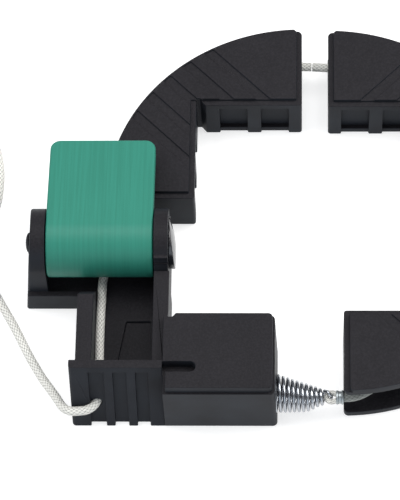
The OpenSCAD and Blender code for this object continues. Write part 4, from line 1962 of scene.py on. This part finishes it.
@dataclass
class SpringEnd:
    """The conical spring, the cord's eye through its hook, and the crimped ferrule."""

    # The spring's wide end in the arm and slim end at the eye: places, then widths.
    x0: float = -9.2
    x1: float = 8.5
    y0: float = -65.25
    y1: float = -67.0
    z: float = 10.0
    wide: float = 13.9
    slim: float = 5.5
    # Share of the length after which the front side draws in.
    taper: float = 0.6
    # The wire's diameter, how much fuller it is drawn, and the number of curls.
    wire: float = 1.0
    wire_full: float = 1.12
    curls: int = 11
    # The hook's length, then the eye round it: place, the doubled cord's diameter, clearance.
    hook: float = 2.4
    hook_x: float = 10.9
    eye: float = 1.9
    eye_gap: float = 0.25
    # The ferrule's left end, diameter and length.
    ferrule_x: float = 12.4
    ferrule: Point = (5.0, 2.8)

    def wire_at(self, u: float, angle: float) -> Vector:
        """Gives a point of the wire's middle line.

        Args:
            u: 0 at the wide end, 1 at the slim end.
            angle: Angle round the spring in degrees.

        Returns:
            The point.
        """
        t = min(max((u - self.taper) / (1 - self.taper), 0.0), 1.0)
        ease = t * t * (3 - 2 * t)
        high = self.y0 + self.wide / 2 + (self.y1 + self.slim / 2 - self.y0 - self.wide / 2) * u
        low = self.y0 - self.wide / 2 + (self.y1 - self.slim / 2 - self.y0 + self.wide / 2) * ease
        r, y, a = (high - low - self.wire) / 2, (high + low) / 2, math.radians(angle)
        x = self.x0 + (self.x1 - self.x0) * u
        return Vector((x, y + r * math.cos(a), self.z + r * math.sin(a)))

    def spring(self, zinc: bpy.types.Material) -> None:
        """Makes the spring.

        Args:
            zinc: Its finish.
        """
        total, fine, start = 8 * self.curls + 1, 3, -20
        path = [
            self.wire_at(i / (total * fine), 45 * i / fine + start) for i in range(total * fine + 1)
        ]
        hook = [
            (1.2, 0.9, 2.5), (2, 0, 2.1), (2.6, 0, 1.2), (2.7, 0, 0),
            (2.5, 0, -1.2), (1.9, 0, -2), (1, 0, -2.1),
        ]
        far = max(x for x, _, _ in hook)
        ends = [
            Vector((self.x1 + x * self.hook / far, self.y1 + y, self.z + z)) for x, y, z in hook
        ]
        path[-1:] = Line.smooth([path[-1], *ends], 4)
        piece = Line.tube("spring_wire", path, self.wire_full * self.wire, 12)
        Bench.dress(piece, zinc, "zinc_wire", "spring")
        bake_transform(piece)

    def eye_and_ferrule(self, braid: bpy.types.Material, metal: bpy.types.Material) -> None:
        """Makes the cord's doubled end and the ferrule crimped on it.

        Args:
            braid: The cord's finish.
            metal: The ferrule's finish.
        """
        (width, length), x, y, z = self.ferrule, self.ferrule_x, self.y1, self.z
        neck, inside = self.eye / 2 + self.eye_gap, x + length * 0.65
        middle, bend = (self.hook_x, y), (self.wire + self.eye) / 2 + self.eye_gap
        ring = Line.arc(middle, bend, 80, 280, 20, z)
        path = [
            Vector((inside, y + neck, z)), Vector((x + 0.3, y + neck, z)), *ring,
            Vector((x + 0.3, y - neck, z)), Vector((inside, y - neck, z)),
        ]
        loop = Line.tube("cord_loop", path, self.eye)
        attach(Bench.dress(loop, braid, "braid", "cord_eye"), "cord_end")
        r = width / 2
        crimp = [(0, -0.45), (0.15, -0.12), (0.4, 0), (0.75, 0), (1.0, -0.3)]
        outline = [(x, 0), *((x + u, r + v) for u, v in crimp)]
        outline += [(x + length - u, r + v) for u, v in reversed(crimp)]
        outline.append((x + length, 0))
        ferrule = Bench.lathe(outline, (0, y, z), 48, "crimped_ferrule")
        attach(Bench.dress(ferrule, metal, "ferrule_metal", "ferrule"), "cord_end")

    def build(
        self, zinc: bpy.types.Material, braid: bpy.types.Material, metal: bpy.types.Material
    ) -> None:
        """Makes the spring, the eye and the ferrule.

        Args:
            zinc: The spring's finish.
            braid: The cord's finish.
            metal: The ferrule's finish.
        """
        self.spring(zinc)
        self.eye_and_ferrule(braid, metal)


# ---------- Coil fittings ----------


@dataclass
class CoilFittings:
    """The strap round the coil and the sleeve on the cord's end."""

    cord: Cord
    strap_t: float = 0.8
    strap_w: float = 6.0
    strap_edges: Point = (1.5, 0.7, 0.15)  # Outside, inside, and on all other edges.
    gap: float = 0.1
    sleeve_d: float = 3.8
    sleeve_len: float = 10.0

    def strap(self, web: bpy.types.Material) -> Object:
        """Makes the strap round the coil's left side.

        Args:
            web: Its finish.

        Returns:
            The strap.
        """
        c, t, (x, y) = self.cord, self.strap_t, self.cord.coil_c
        half, around = self.strap_w / 2, c.diameter / 2 + self.gap
        inner = math.sqrt(c.coil_radius(c.turns - 0.25) ** 2 - half**2) - around
        outer = c.coil_radius(0.25) + around
        high = c.coil_z + (c.layers - 1) * c.pitch + around
        low = (x - outer - t, y - half, 0)
        strap = Bench.slab(low, (x - inner + t, y + half, high + t), "coil_strap")
        hole = Bench.slab((x - outer, y - half - 1, t), (x - inner, y + half + 1, high))

        def along(a: Vector, b: Vector) -> bool:
            """Says whether an edge runs along Y."""
            return abs(a.y - b.y) > 1

        outside, inside, edge = self.strap_edges
        Bench.round_edges(strap, along, outside, 5)
        Bench.round_edges(hole, along, inside, 5)
        Bench.join(strap, hole, "DIFFERENCE")
        Bench.soften(strap, edge)
        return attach(Bench.dress(strap, web, "strap", "coil_tie"), "tensioner")

    def sleeve(self, skin: bpy.types.Material) -> Object:
        """Makes the sleeve on the cord's end.

        Args:
            skin: Its finish.

        Returns:
            The sleeve.
        """
        c, r, n = self.cord, self.sleeve_d / 2, self.sleeve_len
        x, total = c.coil_c[0] + 0.4, c.coil_total
        y, z = c.coil_c[1] - c.coil_radius(total), c.coil_height(total)
        angles = [math.pi / 2 * i / 6 for i in range(7)]
        outline = [(x, 0), (x, 1.65), (x + 0.2, r), (x + 2.8, r - 0.04), (x + 3.4, r - 0.14)]
        outline += [(x + n - 1 + math.sin(a), r - 1.14 + math.cos(a)) for a in angles]
        outline.append((x + n, 0))
        sleeve = Bench.lathe(outline, (0, y, z), 32, "cord_sleeve")
        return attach(Bench.dress(sleeve, skin, "tip_sleeve", "cord_tip"), "tensioner")


def main() -> None:
    """Builds the studio, the cord and the clamp's pieces in order."""
    logging.basicConfig(level=logging.INFO, format="%(message)s")
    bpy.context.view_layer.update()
    Studio().build()
    black, green, braid = BlackPlastic().make(), GreenPlastic().make(), Braid().make()
    polished = BlackPlastic("polished_plastic", rough=0.10, shine=0.6).make()
    # A greyer braid: painted shadow on the cord beside the ferrule and in the lower right block's
    # groove.
    painted_shadow_braid = Braid("braid_painted_shadow", gap=(0.07, 0.075, 0.07), yarn=(0.24, 0.255, 0.24)).make()
    zinc = Metal("zinc_wire", (0.27, 0.285, 0.31), (0.47, 0.49, 0.52), 0.10, 0.01).make()
    crimped = Metal("ferrule_metal", (0.27, 0.30, 0.31), (0.41, 0.44, 0.45), 0.36, 0.05).make()
    cord = Cord()
    free = cord.free_cord(braid)
    fittings = CoilFittings(cord)
    fittings.strap(StrapWeb().make())
    fittings.sleeve(SleeveSkin().make())
    cord.arcs(braid)
    cord.runs(braid, painted_shadow_braid)
    CornerBlock().build(black)
    Tensioner().build(black)
    Lever().build(green)
    Pivot().build(black, polished)
    SpringEnd().build(zinc, braid, crimped)


if __name__ == "__main__":
    main()
